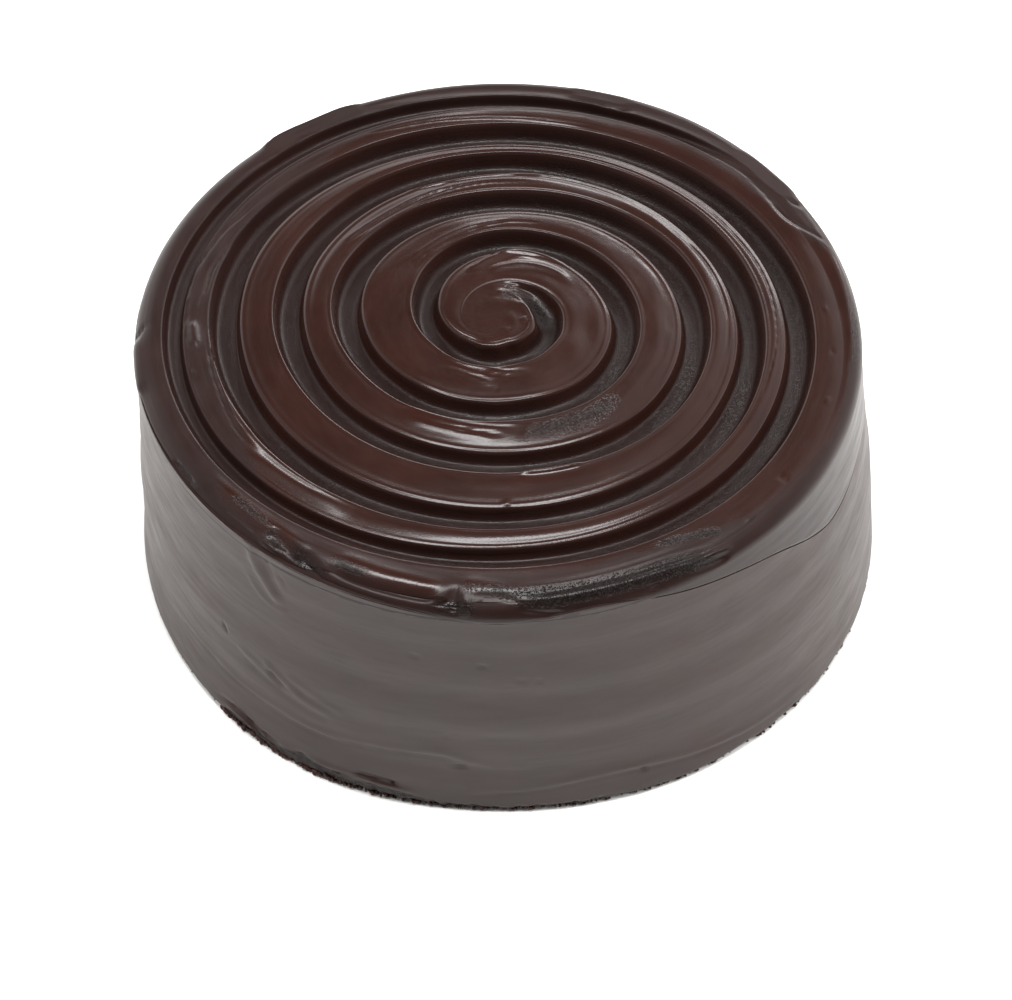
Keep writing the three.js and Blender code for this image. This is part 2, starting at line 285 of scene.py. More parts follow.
# Height in millimetres (below 0 it is sunk), widths to the left and the right, and a path
# of (degrees clockwise, height above the foot).
SIDE_MARKS = [
    # the low crease that the spatula's edge left, and the second one beneath it
    (0.30, 0.5, 1.6, [(246, 15), (241, 16.7), (233.6, 19), (224.5, 18.2), (216.9, 18),
        (208, 17.6), (200, 19.5), (193, 21), (189, 21.4), (185, 19), (181.5, 17.4), (176, 17)]),
    (-0.28, 0.7, 0.5, [(245, 14), (233.6, 18), (224.5, 17.2), (216.9, 17), (208, 16.6),
        (200, 18.5), (193, 20), (187, 19.4)]),
    (0.26, 0.5, 1.4, [(186, 7.5), (182, 8), (174.6, 9.2), (167.6, 11), (160.4, 11), (149.4, 8.4),
        (141, 6.8), (130, 6)]),
    (-0.22, 0.6, 0.5, [(184, 7), (174.6, 8.3), (167.6, 10), (160.4, 10), (149.4, 7.5), (141, 6)]),
    # a smear that runs down from the lap like a drop
    (0.55, 1.4, 2.2, [(220.4, 74), (219.6, 69), (218, 65), (216, 61), (214.3, 59)]),
    (-0.5, 2.6, 1.2, [(217.2, 73), (216.6, 69), (215.6, 65), (214.6, 62.5)]),
    (0.28, 0.6, 0.8, [(221.5, 63), (219.2, 59), (217, 57), (214.6, 56.4), (213.2, 57.5)]),
    (-0.22, 0.5, 0.5, [(215, 70), (213.8, 68), (213.2, 66)]),
    # a thin fold above the seam on the right
    (-0.35, 0.35, 0.35, [(142.5, 80), (139.5, 78.4), (137, 77.4), (134.8, 78.6)]),
    (0.25, 0.5, 0.5, [(142, 79), (138, 76.6), (135, 77.6)]),
    (-0.6, 0.45, 0.4, [(121.2, 76.5), (120.2, 78), (119.4, 79.6)]),
    # nicks and pits
    (-0.8, 0.5, 0.35, [(188, 17.6), (186.6, 17.2), (184.8, 17.4)]),
    (-0.35, 0.4, 0.4, [(193.4, 57.4), (192.6, 57), (191.8, 57.2)]),
    (-0.4, 0.45, 0.35, [(183.4, 56.4), (182.6, 56), (181.8, 56.3)]),
    (-0.4, 0.45, 0.35, [(177.6, 50.9), (176.8, 50.4), (176.2, 50.9)]),
    (-0.35, 0.4, 0.35, [(175, 50.9), (174.5, 50.5), (174, 51)]),
    (-0.35, 0.4, 0.4, [(188.6, 28.2), (188, 28.9), (187.6, 28.4)]),
    (-0.6, 0.5, 0.5, [(159.9, 9), (159.5, 9.6), (159.2, 9.2)]),
    (-0.5, 0.5, 0.5, [(226.6, 36.5), (226.2, 35), (225.9, 34)]),
    (-0.8, 1.3, 1.0, [(217, 31.5), (215.6, 29.6), (213.8, 28)]),
    (0.35, 1.6, 1.2, [(218, 34), (216, 32), (213, 30), (210.6, 27.6)]),
    # a dragged, blotchy patch low on the left
    (0.3, 1.8, 1.2, [(223.5, 33), (218.6, 30.4), (212, 27.5), (206, 26.4)]),
    (-0.3, 1.5, 1.5, [(222.5, 29.8), (217.4, 27.4), (211.8, 25.2), (205.8, 23.6)]),
    (0.22, 1.2, 1.2, [(214, 34), (209, 31), (203.5, 28)]),
    # layered flakes over the torn foot
    (-0.9, 0.7, 0.45, [(228, 5.4), (223, 6.6), (218.6, 5.6), (214.6, 5)]),
    (-0.8, 0.6, 0.45, [(226, 3), (221, 4), (216, 3), (211, 2.6)]),
    (-1.0, 0.8, 0.5, [(216.6, 4.6), (211, 4.2), (206, 4.4), (202.6, 5.2)]),
    (-1.0, 0.7, 0.45, [(202.4, 7.2), (200.6, 7.4), (197.6, 7.2), (195.4, 7)]),
    (0.6, 0.7, 0.9, [(226, 4.6), (220, 5.2), (214, 4.2), (207, 3.4)]),
    (0.5, 0.7, 0.8, [(210, 5.6), (204, 6.2), (198, 5.8), (193, 5)]),
    # the same work round the back
    (0.28, 0.5, 1.5, [(272, 24), (284, 22), (297, 24.5), (311, 23), (326, 21)]),
    (-0.24, 0.6, 0.5, [(274, 23), (284, 21), (297, 23.5), (311, 22)]),
    (0.26, 0.5, 1.4, [(8, 12), (22, 14), (38, 12.6), (52, 15), (66, 13.5)]),
    (0.4, 1.2, 2.2, [(318, 66), (319.5, 60), (321, 55), (323, 52)]),
    (-0.4, 2.2, 1.2, [(321, 66), (322, 61), (323, 57)]),
    (-0.5, 0.5, 0.5, [(41, 47), (42, 46.5), (43, 46.8)]),
    (-0.6, 0.5, 0.4, [(345, 33), (346.5, 32.6), (348, 33)]),
    (-0.8, 0.6, 0.45, [(300, 5), (306, 5.6), (312, 4.6)]),
    (-0.8, 0.6, 0.45, [(28, 4.6), (34, 5.4), (41, 4.6)]),
    (0.5, 0.8, 0.8, [(70, 5), (78, 5.8), (85, 5)]),
]


SIDE_RADIUS, FOOT_RADIUS = 103, 105  # where the side's and the foot's noise is taken
FLAKE_RADIUS = 50  # about half of that, so flakes are twice as long round the cake
FINE_BANDS, DRAG_LUMPS = 0.24, 0.05  # heights


def side_relief(share, z):
    """Height of the spatula's bands, its drag and the single marks on the side."""
    share, z = np.broadcast_arrays(share, z)
    bands = streaks(share, z, 260, 9, 41) + 0.6 * streaks(share, z, 120, 5.5, 42)
    fade = ease(4, 14, z) * (1 - ease(64, 74, z))
    relief = FINE_BANDS * bands * fade
    relief = relief + DRAG_LUMPS * lumps(round_places(share, SIDE_RADIUS, z * 0.5), 9, 44)
    return relief + marks_relief(share * 360 * ARC, z, SIDE_MARKS, unrolled)


def torn_and_shaded_foot(share, z):
    """Share of tearing at the foot, which is also painted darker as shade under the flakes, and
    its relief: flat flakes, and crumbs on them.
    """
    place = round_places(share, FOOT_RADIUS, z)
    limit = around(TORN_AND_SHADED_FOOT, share) * (1 + 0.5 * lumps(place, 9, 51))
    limit = limit + 0.8 * lumps(place, 3, 52)
    torn_and_shade = 1 - ease(-0.8, 0.8, z - limit)
    flakes = lumps(round_places(share, FLAKE_RADIUS, z * 3), 3.4, 53)
    crumbs = lumps(place, 1.5, 54) + 0.6 * lumps(place, 0.8, 55)
    return torn_and_shade, torn_and_shade * (-0.5 + 0.35 * flakes + 0.35 * crumbs)


def side_radius(share, z):
    """Radius of the finished side."""
    top, foot = around(SIDE_TOP_RADII, share), around(FOOT_RADII, share)
    shoulder = SHOULDER_SHAPE * around(SHOULDER_WIDTHS, share)
    down = np.clip(1 - z / (HEIGHT - shoulder), 0, 1)
    spread = (foot - top) * down**SPREAD_POWER
    spread = spread + around(SIDE_BULGES, share) * np.sin(np.pi * down**BULGE_DROP)
    flare = FOOT_FLARE * np.exp(-((z / FOOT_FLARE_HEIGHT) ** 2))
    toe = TOE_UNDERCUT * (1 - ease(0, TOE_HEIGHT, z))
    drift = BAND_DRIFT * np.sin(share * 4 * np.pi)
    wave = np.cos((z - BAND_TROUGH - drift) / BAND_SPACING * 2 * np.pi)
    fade = ease(6, 16, z) * (1 - ease(60, 71, z))
    return top + spread + flare - toe - BAND_SOFTNESS * BAND_DEPTH * wave * fade


def shell_radius(share, z):
    """Radius of the fudge at a height: the shoulder's curve, then the side."""
    width = around(SHOULDER_WIDTHS, share)
    up = np.clip(1 - (HEIGHT - z) / (SHOULDER_SHAPE * width), 0, 1)
    shoulder = around(SIDE_TOP_RADII, share) - width * (1 - np.sqrt(1 - up * up))
    return np.where(up > 0, shoulder, side_radius(share, z))


# ---- the swirl ----

LAST_TURN_SHARE = 0.62  # width and depth of the groove's last turn against the others


def groove_radius(turn):
    """Radius of the groove's centre line, with the finer shape of its first turn."""
    start = through(START_SHIFT, np.clip(turn, 0, 1) * 12)
    return through(SWIRL.ravel(), (turn + 1) * 6) + start


def groove_scale(turn):
    """Width of the groove as a share of its usual width. It starts and ends narrow."""
    start = mix(0.4, 1, ease(-0.03, 0.17, turn))
    last_turn = mix(1, LAST_TURN_SHARE, ease(4.2, 4.9, turn))
    return start * last_turn * mix(1, 0.7, ease(4.95, 5.13, turn))


def groove_depth(turn):
    """Depth of the groove, against the inner wall. It starts and ends shallow."""
    shallower = mix(1, LAST_TURN_SHARE, ease(4.2, 4.9, turn))
    return GROOVE_DEPTH * ease(-0.02, 0.22, turn) * shallower * (1 - ease(5.06, 5.15, turn))


def bank(depth, slope, lip, foot):
    """Path down one wall of the groove: a rounded lip, a steep face and a rounded foot.
    Returns distances outwards from the lip's start, and shares of the depth."""
    slope = math.radians(slope)
    bend = np.linspace(0, slope, 14)
    face = (depth - (lip + foot) * (1 - math.cos(slope))) / math.sin(slope)
    x = [lip * np.sin(bend)]
    y = [lip * (1 - np.cos(bend))]
    start_x = x[0][-1] + face * math.cos(slope)
    start_y = y[0][-1] + face * math.sin(slope)
    x.append(start_x + foot * (math.sin(slope) - np.sin(bend[::-1])))
    y.append(start_y + foot * (np.cos(bend[::-1]) - math.cos(slope)))
    return np.concatenate(x), np.concatenate(y) / depth


OUTER_WALL_SHARE = 0.9
INNER_BANK = bank(GROOVE_DEPTH, slope=78, lip=0.75, foot=1.9)
OUTER_BANK = bank(GROOVE_DEPTH * OUTER_WALL_SHARE, slope=72, lip=0.8, foot=2.0)
INNER_BANK_START, OUTER_BANK_END = -4.6, 4.7  # in millimetres from the centre line
BEAD_HEIGHT = 0.16  # fudge that the tool raised along a ridge's outer edge
FACE_LEVEL, RIM_LEVEL = 0.65, 0.1  # depth of the ridges and the rim below the highest point
INNER_ROUNDING, OUTER_ROUNDING = 0.22, 0.42  # drop of a ridge at its inner and outer edge
INNER_REACH, OUTER_REACH = 2.2, 3.0  # and how far from the edge that drop begins
SHORT_STREAKS, LONG_STREAKS, CREST, RAGGED_FLOOR = 0.09, 0.17, 0.07, 0.05  # heights

# Small bubbles, open where they are sunk: height, size, degrees clockwise, half of the
# length in degrees, radius, and how far the middle is set outwards.
BUBBLES = [
    (0.3, 0.45, 131, 0.6, 79.8, 0.1), (-0.35, 0.5, 127, 0.6, 94, 0.3),
    (-0.35, 0.45, 126.8, 0.4, 92.4, 0.2), (0.35, 0.45, 137, 0.5, 95.6, 0.1),
    (-0.3, 0.45, 145.1, 0.5, 84, 0.2), (0.35, 0.45, 109.3, 0.5, 85.6, 0.1),
    (0.3, 0.4, 85.9, 0.5, 90.2, 0.1), (-0.3, 0.4, 96.3, 0.5, 91.2, 0.1),
    (0.35, 0.45, 107.5, 0.4, 92.6, 0.1), (-0.4, 0.5, 59.5, 0.5, 54.6, 0.3),
    (0.4, 0.4, 59.8, 1.6, 55.6, 0.6),
]
# As SIDE_MARKS, with paths of (degrees clockwise, radius) on the top. Beyond 97.5 the
# radius goes on as a length over the shoulder.
TOP_MARKS = [
    # thin folds along the ridges at the back left
    (-0.42, 0.4, 0.4, [(307.5, 54.2), (313, 53.8), (320, 53.8), (328, 54.4), (336, 55.4),
        (345, 56.7), (356, 58), (8, 59)]),
    (0.3, 0.7, 0.5, [(308, 55.2), (318, 54.8), (328, 55.5), (338, 56.9), (350, 58.6)]),
    (-0.4, 0.4, 0.4, [(313.2, 35.4), (323.3, 35.6), (336.6, 37.4), (348, 39.2), (2, 41.6),
        (16, 43)]),
    (0.26, 0.7, 0.5, [(313.6, 36.5), (325, 36.7), (337, 38.6), (350, 40.6), (4, 42.8)]),
    (0.30, 0.5, 0.5, [(332, 61), (343, 60.2), (355, 61), (8, 63), (22, 64)]),
    (-0.26, 0.5, 0.5, [(336, 59.8), (348, 59.4), (0, 60.8), (12, 62)]),
    (0.26, 0.5, 0.5, [(330, 80.5), (345, 79.4), (0, 80), (16, 81.4), (34, 82.6)]),
    (-0.26, 0.5, 0.5, [(322, 79.4), (338, 78.4), (354, 78.6), (10, 80)]),
    (0.1, 0.5, 0.7, [(338, 88.4), (349, 87.4), (0, 86.8), (14, 87), (30, 88.6)]),
    (-0.3, 0.5, 0.5, [(334, 87.4), (349, 86.1), (4, 85.6), (18, 86.2)]),
    # fine lines on the right, just inside the ridges' outer lips
    (-0.22, 0.35, 0.35, [(40, 46.4), (62, 48.2), (84, 47.2), (104, 45.4), (122, 44.4)]),
    (-0.22, 0.35, 0.35, [(46, 62.2), (66, 63.4), (86, 63.2), (106, 62.2), (126, 61.8)]),
    (-0.2, 0.35, 0.35, [(52, 76.2), (72, 76.6), (92, 76.2), (110, 75.6)]),
    # a flat satin tongue between two folds on the left, and a blob that dripped there
    (-0.45, 0.5, 0.5, [(272, 84), (279.4, 82.5), (285.7, 82.9), (293.1, 82), (299.3, 81.7),
        (306.8, 81.4), (316, 81.8)]),
    (-0.4, 0.5, 0.5, [(273, 86.4), (280.6, 87.3), (286.9, 87.2), (295.5, 86.2), (301, 85.2),
        (310, 85)]),
    (0.75, 1.3, 1.2, [(270.8, 84.8), (268.8, 83.8), (266.8, 83.4), (264.8, 83.4)]),
    (0.5, 0.7, 0.7, [(268.6, 84.8), (266.2, 83.2), (264.4, 82.6)]),
    (0.4, 0.6, 0.6, [(266.2, 85.8), (264.6, 85), (263.4, 84.8)]),
    (-0.4, 0.5, 0.5, [(272.5, 86), (271, 86.6), (269, 87)]),
    (0.35, 0.5, 0.5, [(258.6, 85.2), (257.6, 84.4), (257, 84.8)]),
    # fine double line along the satin patch, and the soft step where it ends
    (-0.34, 0.4, 0.4, [(272, 80.4), (262, 79.6), (252, 79.2), (243, 79.6), (236, 80)]),
    (0.3, 0.5, 0.5, [(272, 79.4), (262, 78.6), (252, 78.2), (243, 78.6), (234, 78)]),
    (0.5, 2.0, 2.8, [(236, 81), (230, 79.6), (224, 78.6), (216, 77.8), (209, 77.2)]),
    (-0.4, 1.4, 1.6, [(240, 77), (232, 76.6), (225, 76.2), (217, 75.6)]),
    # wet swellings that catch the lamp on the front ridges
    (0.75, 2.6, 1.1, [(156, 54.8), (160, 54.6), (166, 54.4), (170, 54.2), (174, 54)][::-1]),
    (0.62, 2.6, 1.2, [(221, 39.4), (214, 38.6), (204, 38), (194, 37.8), (184, 38), (177, 38.4),
        (171, 38.8)][::-1]),
    (0.3, 1.0, 0.8, [(214, 42), (204, 41.2), (192, 41), (182, 41.6)][::-1]),
    (-0.3, 0.6, 0.5, [(206, 40.2), (196, 39.9), (186, 40.2), (178, 40.6)]),
    (0.45, 0.8, 0.7, [(178.6, 64.3), (178, 64.1), (177.4, 64.3)]),
    # streaks round the start of the swirl, front and back
    (0.42, 1.3, 0.7, [(238, 18.6), (226, 17.6), (212, 16.6), (198, 16.2), (184, 16.6),
        (168, 17.6), (152, 18.8)][::-1]),
    (0.36, 0.8, 0.5, [(205, 14.9), (192, 14.2), (178, 13.7), (162, 13.6), (150, 13.8)][::-1]),
    (0.36, 1.0, 0.5, [(224, 21.2), (212, 20.2), (202, 20), (190, 20.8), (182, 22.4)][::-1]),
    (-0.3, 0.4, 0.4, [(210, 18.8), (196, 18.4), (182, 18.9), (166, 20)]),
    (-0.34, 0.4, 0.4, [(186, 22.2), (182.6, 23), (180, 24)]),
    (0.9, 0.7, 1.9, [(344, 25.2), (352, 26.4), (1, 28.8), (9, 30.8), (16, 31.6), (26, 32.2),
        (38, 32)]),
    (0.72, 0.6, 1.5, [(352, 22.6), (2, 23.6), (12, 25), (24, 26.2), (38, 26.8), (52, 26.4)]),
    (-0.3, 0.45, 0.45, [(350, 24.4), (0, 26), (10, 28.2), (22, 29.6)]),
    (0.5, 0.8, 0.8, [(340, 24.6), (344, 24.2), (349, 24.4)]),
    # fine ridges that fan out where the swirl starts
    (0.34, 0.35, 0.4, [(0, 15.6), (12, 16.6), (26, 18), (42, 18.6), (60, 18.4), (78, 17.6)]),
    (0.3, 0.35, 0.35, [(4, 14.4), (18, 15.4), (34, 16.4), (52, 16.8), (70, 16.6)]),
    (-0.34, 0.35, 0.35, [(0, 15), (14, 16), (28, 17.2), (44, 17.8), (62, 17.6)]),
    (0.28, 0.35, 0.35, [(10, 13.4), (26, 14.2), (44, 15)]),
    # low swirl on the middle
    (0.3, 0.8, 1.2, [(340, 8.6), (356, 9.4), (21, 10), (42, 10.6), (65, 10), (87, 8.9),
        (109, 7.8)]),
    (0.22, 0.8, 1.0, [(20, 5.2), (60, 5), (100, 4.2), (150, 3.4)]),
    (0.3, 0.7, 0.7, [(60, 8.2), (72, 7.6), (80, 7.8)]),
    # the wavy edge of the run that spread to the rim on the right
    (0.2, 0.7, 2.6, [(48, 92.6), (56.1, 91.6), (60.9, 90.6), (63.8, 91.8), (67.3, 94.4),
        (71.2, 97.4), (74.6, 98), (82, 97.6), (92, 98)]),
    (-0.3, 0.5, 0.5, [(52, 93), (60.9, 91.9), (63.8, 93), (67.3, 95.6), (71.2, 98.6)]),
    *[
        (height, size, size, [(at + half, radius), (at, radius + bow), (at - half, radius)])
        for height, size, at, half, radius, bow in BUBBLES
    ],
    # the front rim: dragged facets, notches between them, and torn bands
    (0.5, 1.1, 1.6, [(206.5, 92.6), (202, 92.9), (197, 93.3), (192, 93.9), (188.8, 94.4)][::-1]),
    (-0.7, 1.3, 0.8, [(207, 97), (202, 97.6), (197, 98), (192, 98.2), (189.6, 98)]),
    (-1.1, 1.2, 1.0, [(187.2, 94.4), (186.6, 96.6), (186.4, 98.8), (186.6, 101)]),
    (-0.8, 0.7, 0.9, [(189, 100), (187.8, 98.2), (187.2, 96.4)]),
    (0.7, 0.9, 0.9, [(185.4, 101.5), (184.6, 99), (184.9, 96.8)]),
    (0.45, 0.8, 1.2, [(185.6, 92), (183, 92.6), (180.6, 93.4), (178.2, 94.4)][::-1]),
    (-0.55, 0.9, 0.6, [(185, 96.2), (182, 96.4), (179, 96.8), (176.6, 97.8)]),
    (0.45, 0.9, 1.1, [(178.4, 97.6), (172, 97.4), (165, 97), (158, 97), (151, 97.6), (146, 99)]),
    (-0.6, 0.7, 0.6, [(178.6, 95.6), (172, 95.4), (164, 94.9), (157, 95), (150, 95.8),
        (146, 97.2)]),
    (0.4, 0.8, 0.9, [(178, 94), (171, 93.6), (164, 93), (156, 92.8), (149, 93.2)]),
    (-0.9, 0.6, 0.5, [(156.6, 97.4), (156.3, 99.4), (156.4, 101.2)]),
    (-0.5, 0.8, 0.8, [(176.8, 99.8), (174, 100.8), (170.6, 101.6)]),
    (-0.9, 1.1, 1.0, [(149.4, 99.6), (146.6, 100.4), (143.8, 100.6)]),
    (0.6, 0.9, 0.9, [(147, 98), (144.4, 98.6), (142.4, 99)]),
    # rough notches on the rim at the front left
    (-1.0, 1.5, 1.2, [(218.6, 94.6), (216, 95.6), (213.6, 96.6), (211, 98.4)]),
    (0.6, 1.0, 1.0, [(219.6, 97), (217.6, 98.2), (215, 99)]),
    (-0.9, 1.4, 1.4, [(212, 95), (210, 97.6), (208.4, 100), (207.6, 102)]),
    (0.5, 1.4, 1.0, [(234, 93.6), (228, 93), (222, 93), (216, 93.4), (211, 93.8)][::-1]),
    (-0.6, 0.9, 0.8, [(233, 96.6), (228, 96.4), (222, 96.6), (216, 97.4)]),
    (-0.7, 0.9, 0.7, [(240.6, 99), (239, 98.6), (237, 98.4), (235, 99.2)]),
    # lumps on the rim that show in the outline
    (1.5, 2.2, 2.6, [(316, 99.4), (321, 99.2), (326, 98.6), (331, 98.9), (336, 99.6)]),
    (-0.5, 0.7, 0.6, [(333, 96.6), (330, 97.6), (328, 99.4)]),
    (0.9, 2.2, 2.2, [(256, 100), (260, 99.6), (264, 99.4), (268, 99.8)]),
    (-0.5, 0.8, 0.8, [(270.6, 97), (269, 98.6), (268.4, 100.6)]),
    (0.8, 2.0, 2.4, [(44, 99), (49, 98.6), (54, 98.6), (59, 99.2)]),
    (-0.5, 0.6, 0.6, [(59, 96.4), (60.6, 98), (61.2, 100)]),
    (0.6, 2.0, 2.0, [(12, 99.4), (17, 99), (23, 99.4)]),
    # scuffs on the back rim
    (-0.4, 0.5, 0.4, [(17.5, 96), (19.6, 95.4), (22, 95.6), (24.2, 96.2)]),
    (0.34, 0.8, 1.2, [(338, 96.6), (346, 95.4), (356, 95), (6, 95.4), (14, 96)]),
    (-0.34, 0.4, 0.4, [(322, 94.6), (325, 93.9), (329, 93.6)]),
    (-0.3, 0.4, 0.4, [(310, 95.2), (314, 94.6), (318, 94.8)]),
    (-0.3, 0.4, 0.4, [(36, 94.4), (39.4, 93.6), (40.4, 95)]),
]
# Where the fudge is dragged glossy, and where it is torn and painted darker, for torn fudge and
# for painted shade in its tears: strength, widths and path.
SHINY_MARKS = [
    (1.3, 1.3, 2.6, [(207.5, 94), (202, 94.2), (197, 94.6), (192, 95.2), (188.4, 95.6)][::-1]),
    (1.2, 1.2, 2.2, [(186, 93.4), (183, 93.9), (180, 94.6), (177.4, 95.8)][::-1]),
    (1.2, 1.6, 2.4, [(232, 94.4), (225, 94), (218, 94.4), (213, 94.8)][::-1]),
    (1.4, 2.4, 2.4, [(224, 40.6), (214, 40), (204, 39.4), (192, 39.4), (182, 39.8), (170, 40.4)]),
    (1.4, 2.6, 2.6, [(154, 56.6), (160, 56.8), (166, 56.6), (171, 56.4), (176, 55.8)]),
    (1.2, 2.6, 2.6, [(240, 18), (222, 17.8), (206, 17.4), (190, 17.4), (172, 17.8), (152, 18.4)]),
    (1.2, 3.0, 3.0, [(342, 24.8), (354, 26), (8, 28), (24, 29), (42, 28.6)]),
]
TORN_AND_SHADED_MARKS = [
    (1.2, 1.5, 1.3, [(186.4, 93.8), (181, 94.4), (176, 95.4), (168, 95.6), (160, 95.4), (152, 96),
        (145, 98)][::-1]),
    (1.3, 1.4, 1.6, [(178, 98.4), (172, 98.4), (165, 98), (157, 98), (150, 99),
        (144, 100.6)][::-1]),
    (1.1, 1.2, 1.2, [(153, 88.8), (148.6, 90.2), (145, 92), (142, 94.6)][::-1]),
    (1.0, 1.1, 1.1, [(207, 94.6), (204, 94.9), (200.6, 95.2)][::-1]),
    (1.0, 2.0, 2.0, [(213.6, 96.8), (211, 98), (208.6, 99.4), (207.6, 101.6)]),
    (0.9, 1.6, 2.2, [(190, 99.6), (187.4, 99), (185, 99.4), (183.4, 98.4)]),
    (0.9, 1.4, 1.6, [(219, 95), (217, 96.4), (214.6, 97.6)]),
    (0.8, 1.0, 1.0, [(228, 93.6), (224, 93.4), (219, 94)]),
    (0.7, 1.1, 1.1, [(240, 98.2), (237, 98.4), (233, 99)]),
    (0.8, 2.6, 2.6, [(171, 40.8), (162, 40.2), (152, 40.4), (140, 41.2), (128, 41.4)]),
    (0.7, 1.4, 1.4, [(2, 12), (14, 13), (30, 14), (48, 14.6), (70, 14.6)]),
    (0.7, 1.2, 1.2, [(84, 98.4), (92, 98.2), (99, 98.8)]),
]


def face_form(share, radius):
    """Drop of the top's face below its highest level, and a mask of the groove's floor."""
    share, radius = np.broadcast_arrays(share, radius)
    drop, floor = mix(FACE_LEVEL, RIM_LEVEL, ease(84, 95, radius)), np.zeros(radius.shape)
    place = round_places(share, radius)
    uneven = streaks(share, radius, 60, 12, 11)
    bead_strength = 0.6 + 0.6 * streaks(share, radius, 40, 9, 12)
    softness = 1 + 0.35 * streaks(share, radius, 50, 14, 13)
    for turns in range(-1, 7):
        turn = turns + share
        scale = groove_scale(turn)
        across = (radius - groove_radius(turn)) / scale
        depth = groove_depth(turn)
        live = depth / GROOVE_DEPTH
        inner = np.interp((across - INNER_BANK_START) / softness, *INNER_BANK)
        outer = np.interp((OUTER_BANK_END - across) / softness, *OUTER_BANK)
        # the floor climbs outwards, most of it at the foot of the outer wall
        climb = 0.1 * np.clip((across + 2) / 4.5, 0, 1) + 0.9 * ease(1.3, 4.1, across)
        drop = drop + depth * inner * outer * (1 - (1 - OUTER_WALL_SHARE) * climb)
        floor = floor + live * ease(-3.6, -2.4, across) * (1 - ease(2.6, 3.9, across))
        following = groove_radius(turn + 1) + INNER_BANK_START * groove_scale(turn + 1)
        inner_edge = groove_radius(turn) + OUTER_BANK_END * scale
        width = np.maximum(following - inner_edge, 1)
        inside, outside = radius - inner_edge, following - radius
        along = np.clip(inside / width, 0, 1)
        edge_live = groove_depth(turn + 1) / GROOVE_DEPTH
        ridge = ease(-0.6, 0.1, turn) * np.maximum(edge_live, 0.35 * live)
        ridge = ridge * (radius > inner_edge) * (1 - ease(0, 3, radius - following))
        rounding = INNER_ROUNDING * np.clip(1 - inside / INNER_REACH, 0, 1) ** 2
        outer_share = np.clip(1 - np.maximum(outside, 0) / OUTER_REACH, 0, 1)
        rounding = rounding + OUTER_ROUNDING * outer_share**2
        fall = around(RIDGE_FALL, share) * (1 + 0.5 * uneven) * along
        crest = np.cos(2 * np.pi * (1.15 * along + 0.35 * uneven)) * np.sin(np.pi * along)
        drop = drop + ridge * (rounding + fall + CREST * crest)
        bead_line = across - INNER_BANK_START
        bead = hump(-0.35, 0.4, bead_line) - 0.7 * hump(-1.3, 0.5, bead_line)
        drop = drop - BEAD_HEIGHT * live * bead * bead_strength
    soft = SHORT_STREAKS * streaks(share, radius, 46, 3.4, 14)
    soft = soft + LONG_STREAKS * streaks(share, radius, 34, 7, 17)
    drop = drop + soft * (1 - floor) * ease(5, 24, radius)
    floor = np.clip(floor, 0, 1)
    ragged = streaks(share, radius, 3, 2.2, 15) + 0.7 * lumps(place, 1.1, 16)
    drop = drop + RAGGED_FLOOR * floor * around(FLOOR_TEARING_AND_SHADE, share) * ragged
    return drop, floor


def shoulder_drop(share, radius):
    """Drop of the rounded shoulder below the top."""
    width = around(SHOULDER_WIDTHS, share)
    out = np.clip(1 - (around(SIDE_TOP_RADII, share) - radius) / width, 0, 1)
    return SHOULDER_SHAPE * width * (1 - np.sqrt(1 - out * out))


POURED_GLOSS = 0.7  # a dragged facet has 1


def face_finish(share, reach, floor):
    """Masks of the gloss and of the tearing with its painted shade, from 0 to 1. reach is
    the radius, and beyond 97.5 the length over the shoulder."""
    points = round_places(share, reach)
    limit = around(GLOSS_LIMIT, share) + 1.1 * lumps(points, 8, 21)
    limit = limit + 0.5 * lumps(points, 3, 22)
    gloss = 1 - ease(-1.2, 1.2, reach - limit)
    x, y = points[..., 0], points[..., 1]
    shiny = np.clip(marks_relief(x, y, SHINY_MARKS, polar), 0, 1)
    # Groove floors lose the gloss colour and take the darker torn one: torn fudge, and painted
    # shade down in the groove.
    torn_and_shaded_floor = floor * around(FLOOR_TEARING_AND_SHADE, share) * (1 + 0.4 * lumps(points, 7, 18))
    torn_and_shade = np.clip(torn_and_shaded_floor + marks_relief(x, y, TORN_AND_SHADED_MARKS, polar), 0, 1)
    return np.maximum(gloss * POURED_GLOSS, shiny) * (1 - floor), torn_and_shade


# ---- meshes ----

BOX_LOW, BOX_HIGH = (np.array(corner) / MM for corner in cad_box)
SHARP_ANGLE = 70  # edges sharper than this many degrees aren't smoothed over


def new_piece(name, points, faces, material, masks):
    """A smooth mesh piece of the cake, from points in millimetres, kept inside the
    solids' box. masks gives the material a value from 0 to 1 at each point."""
    mesh = bpy.data.meshes.new(name)
    points = np.clip(points, BOX_LOW, BOX_HIGH)
    mesh.from_pydata((points * MM).tolist(), [], faces)
    shell = bmesh.new()
    shell.from_mesh(mesh)
    bmesh.ops.recalc_face_normals(shell, faces=shell.faces)  # every face looks outwards
    shell.to_mesh(mesh)
    shell.free()
    mesh.validate()
    mesh.shade_smooth()
    mesh.set_sharp_from_angle(angle=math.radians(SHARP_ANGLE))
    for mask, values in masks.items():
        attribute = mesh.attributes.new(mask, "FLOAT", "POINT")
        attribute.data.foreach_set("value", np.asarray(values, np.float32))
    mesh.materials.append(material)
    piece = bpy.data.objects.new(name, mesh)
    bpy.context.scene.collection.objects.link(piece)
    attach(piece, "root")
    return piece


def leaning(share, radius, z, centre_height=None):
    """Points of the cake, on circles whose centre follows the lean."""
    points = round_places(share, radius, z)
    lean = (z if centre_height is None else centre_height) / HEIGHT
    points[..., 0] += TOP_CENTRE[0] * lean
    points[..., 1] += TOP_CENTRE[1] * lean
    return points


COLUMNS = 528  # points round the rim
CORE_STEP = 4  # columns from one point to the next at the core
COARSE_TURNS, MIDDLE_TURNS = 1.0, 2.6  # fewer points near the centre, up to these turns
FIRST_TURN, LAST_TURN = -2, 5
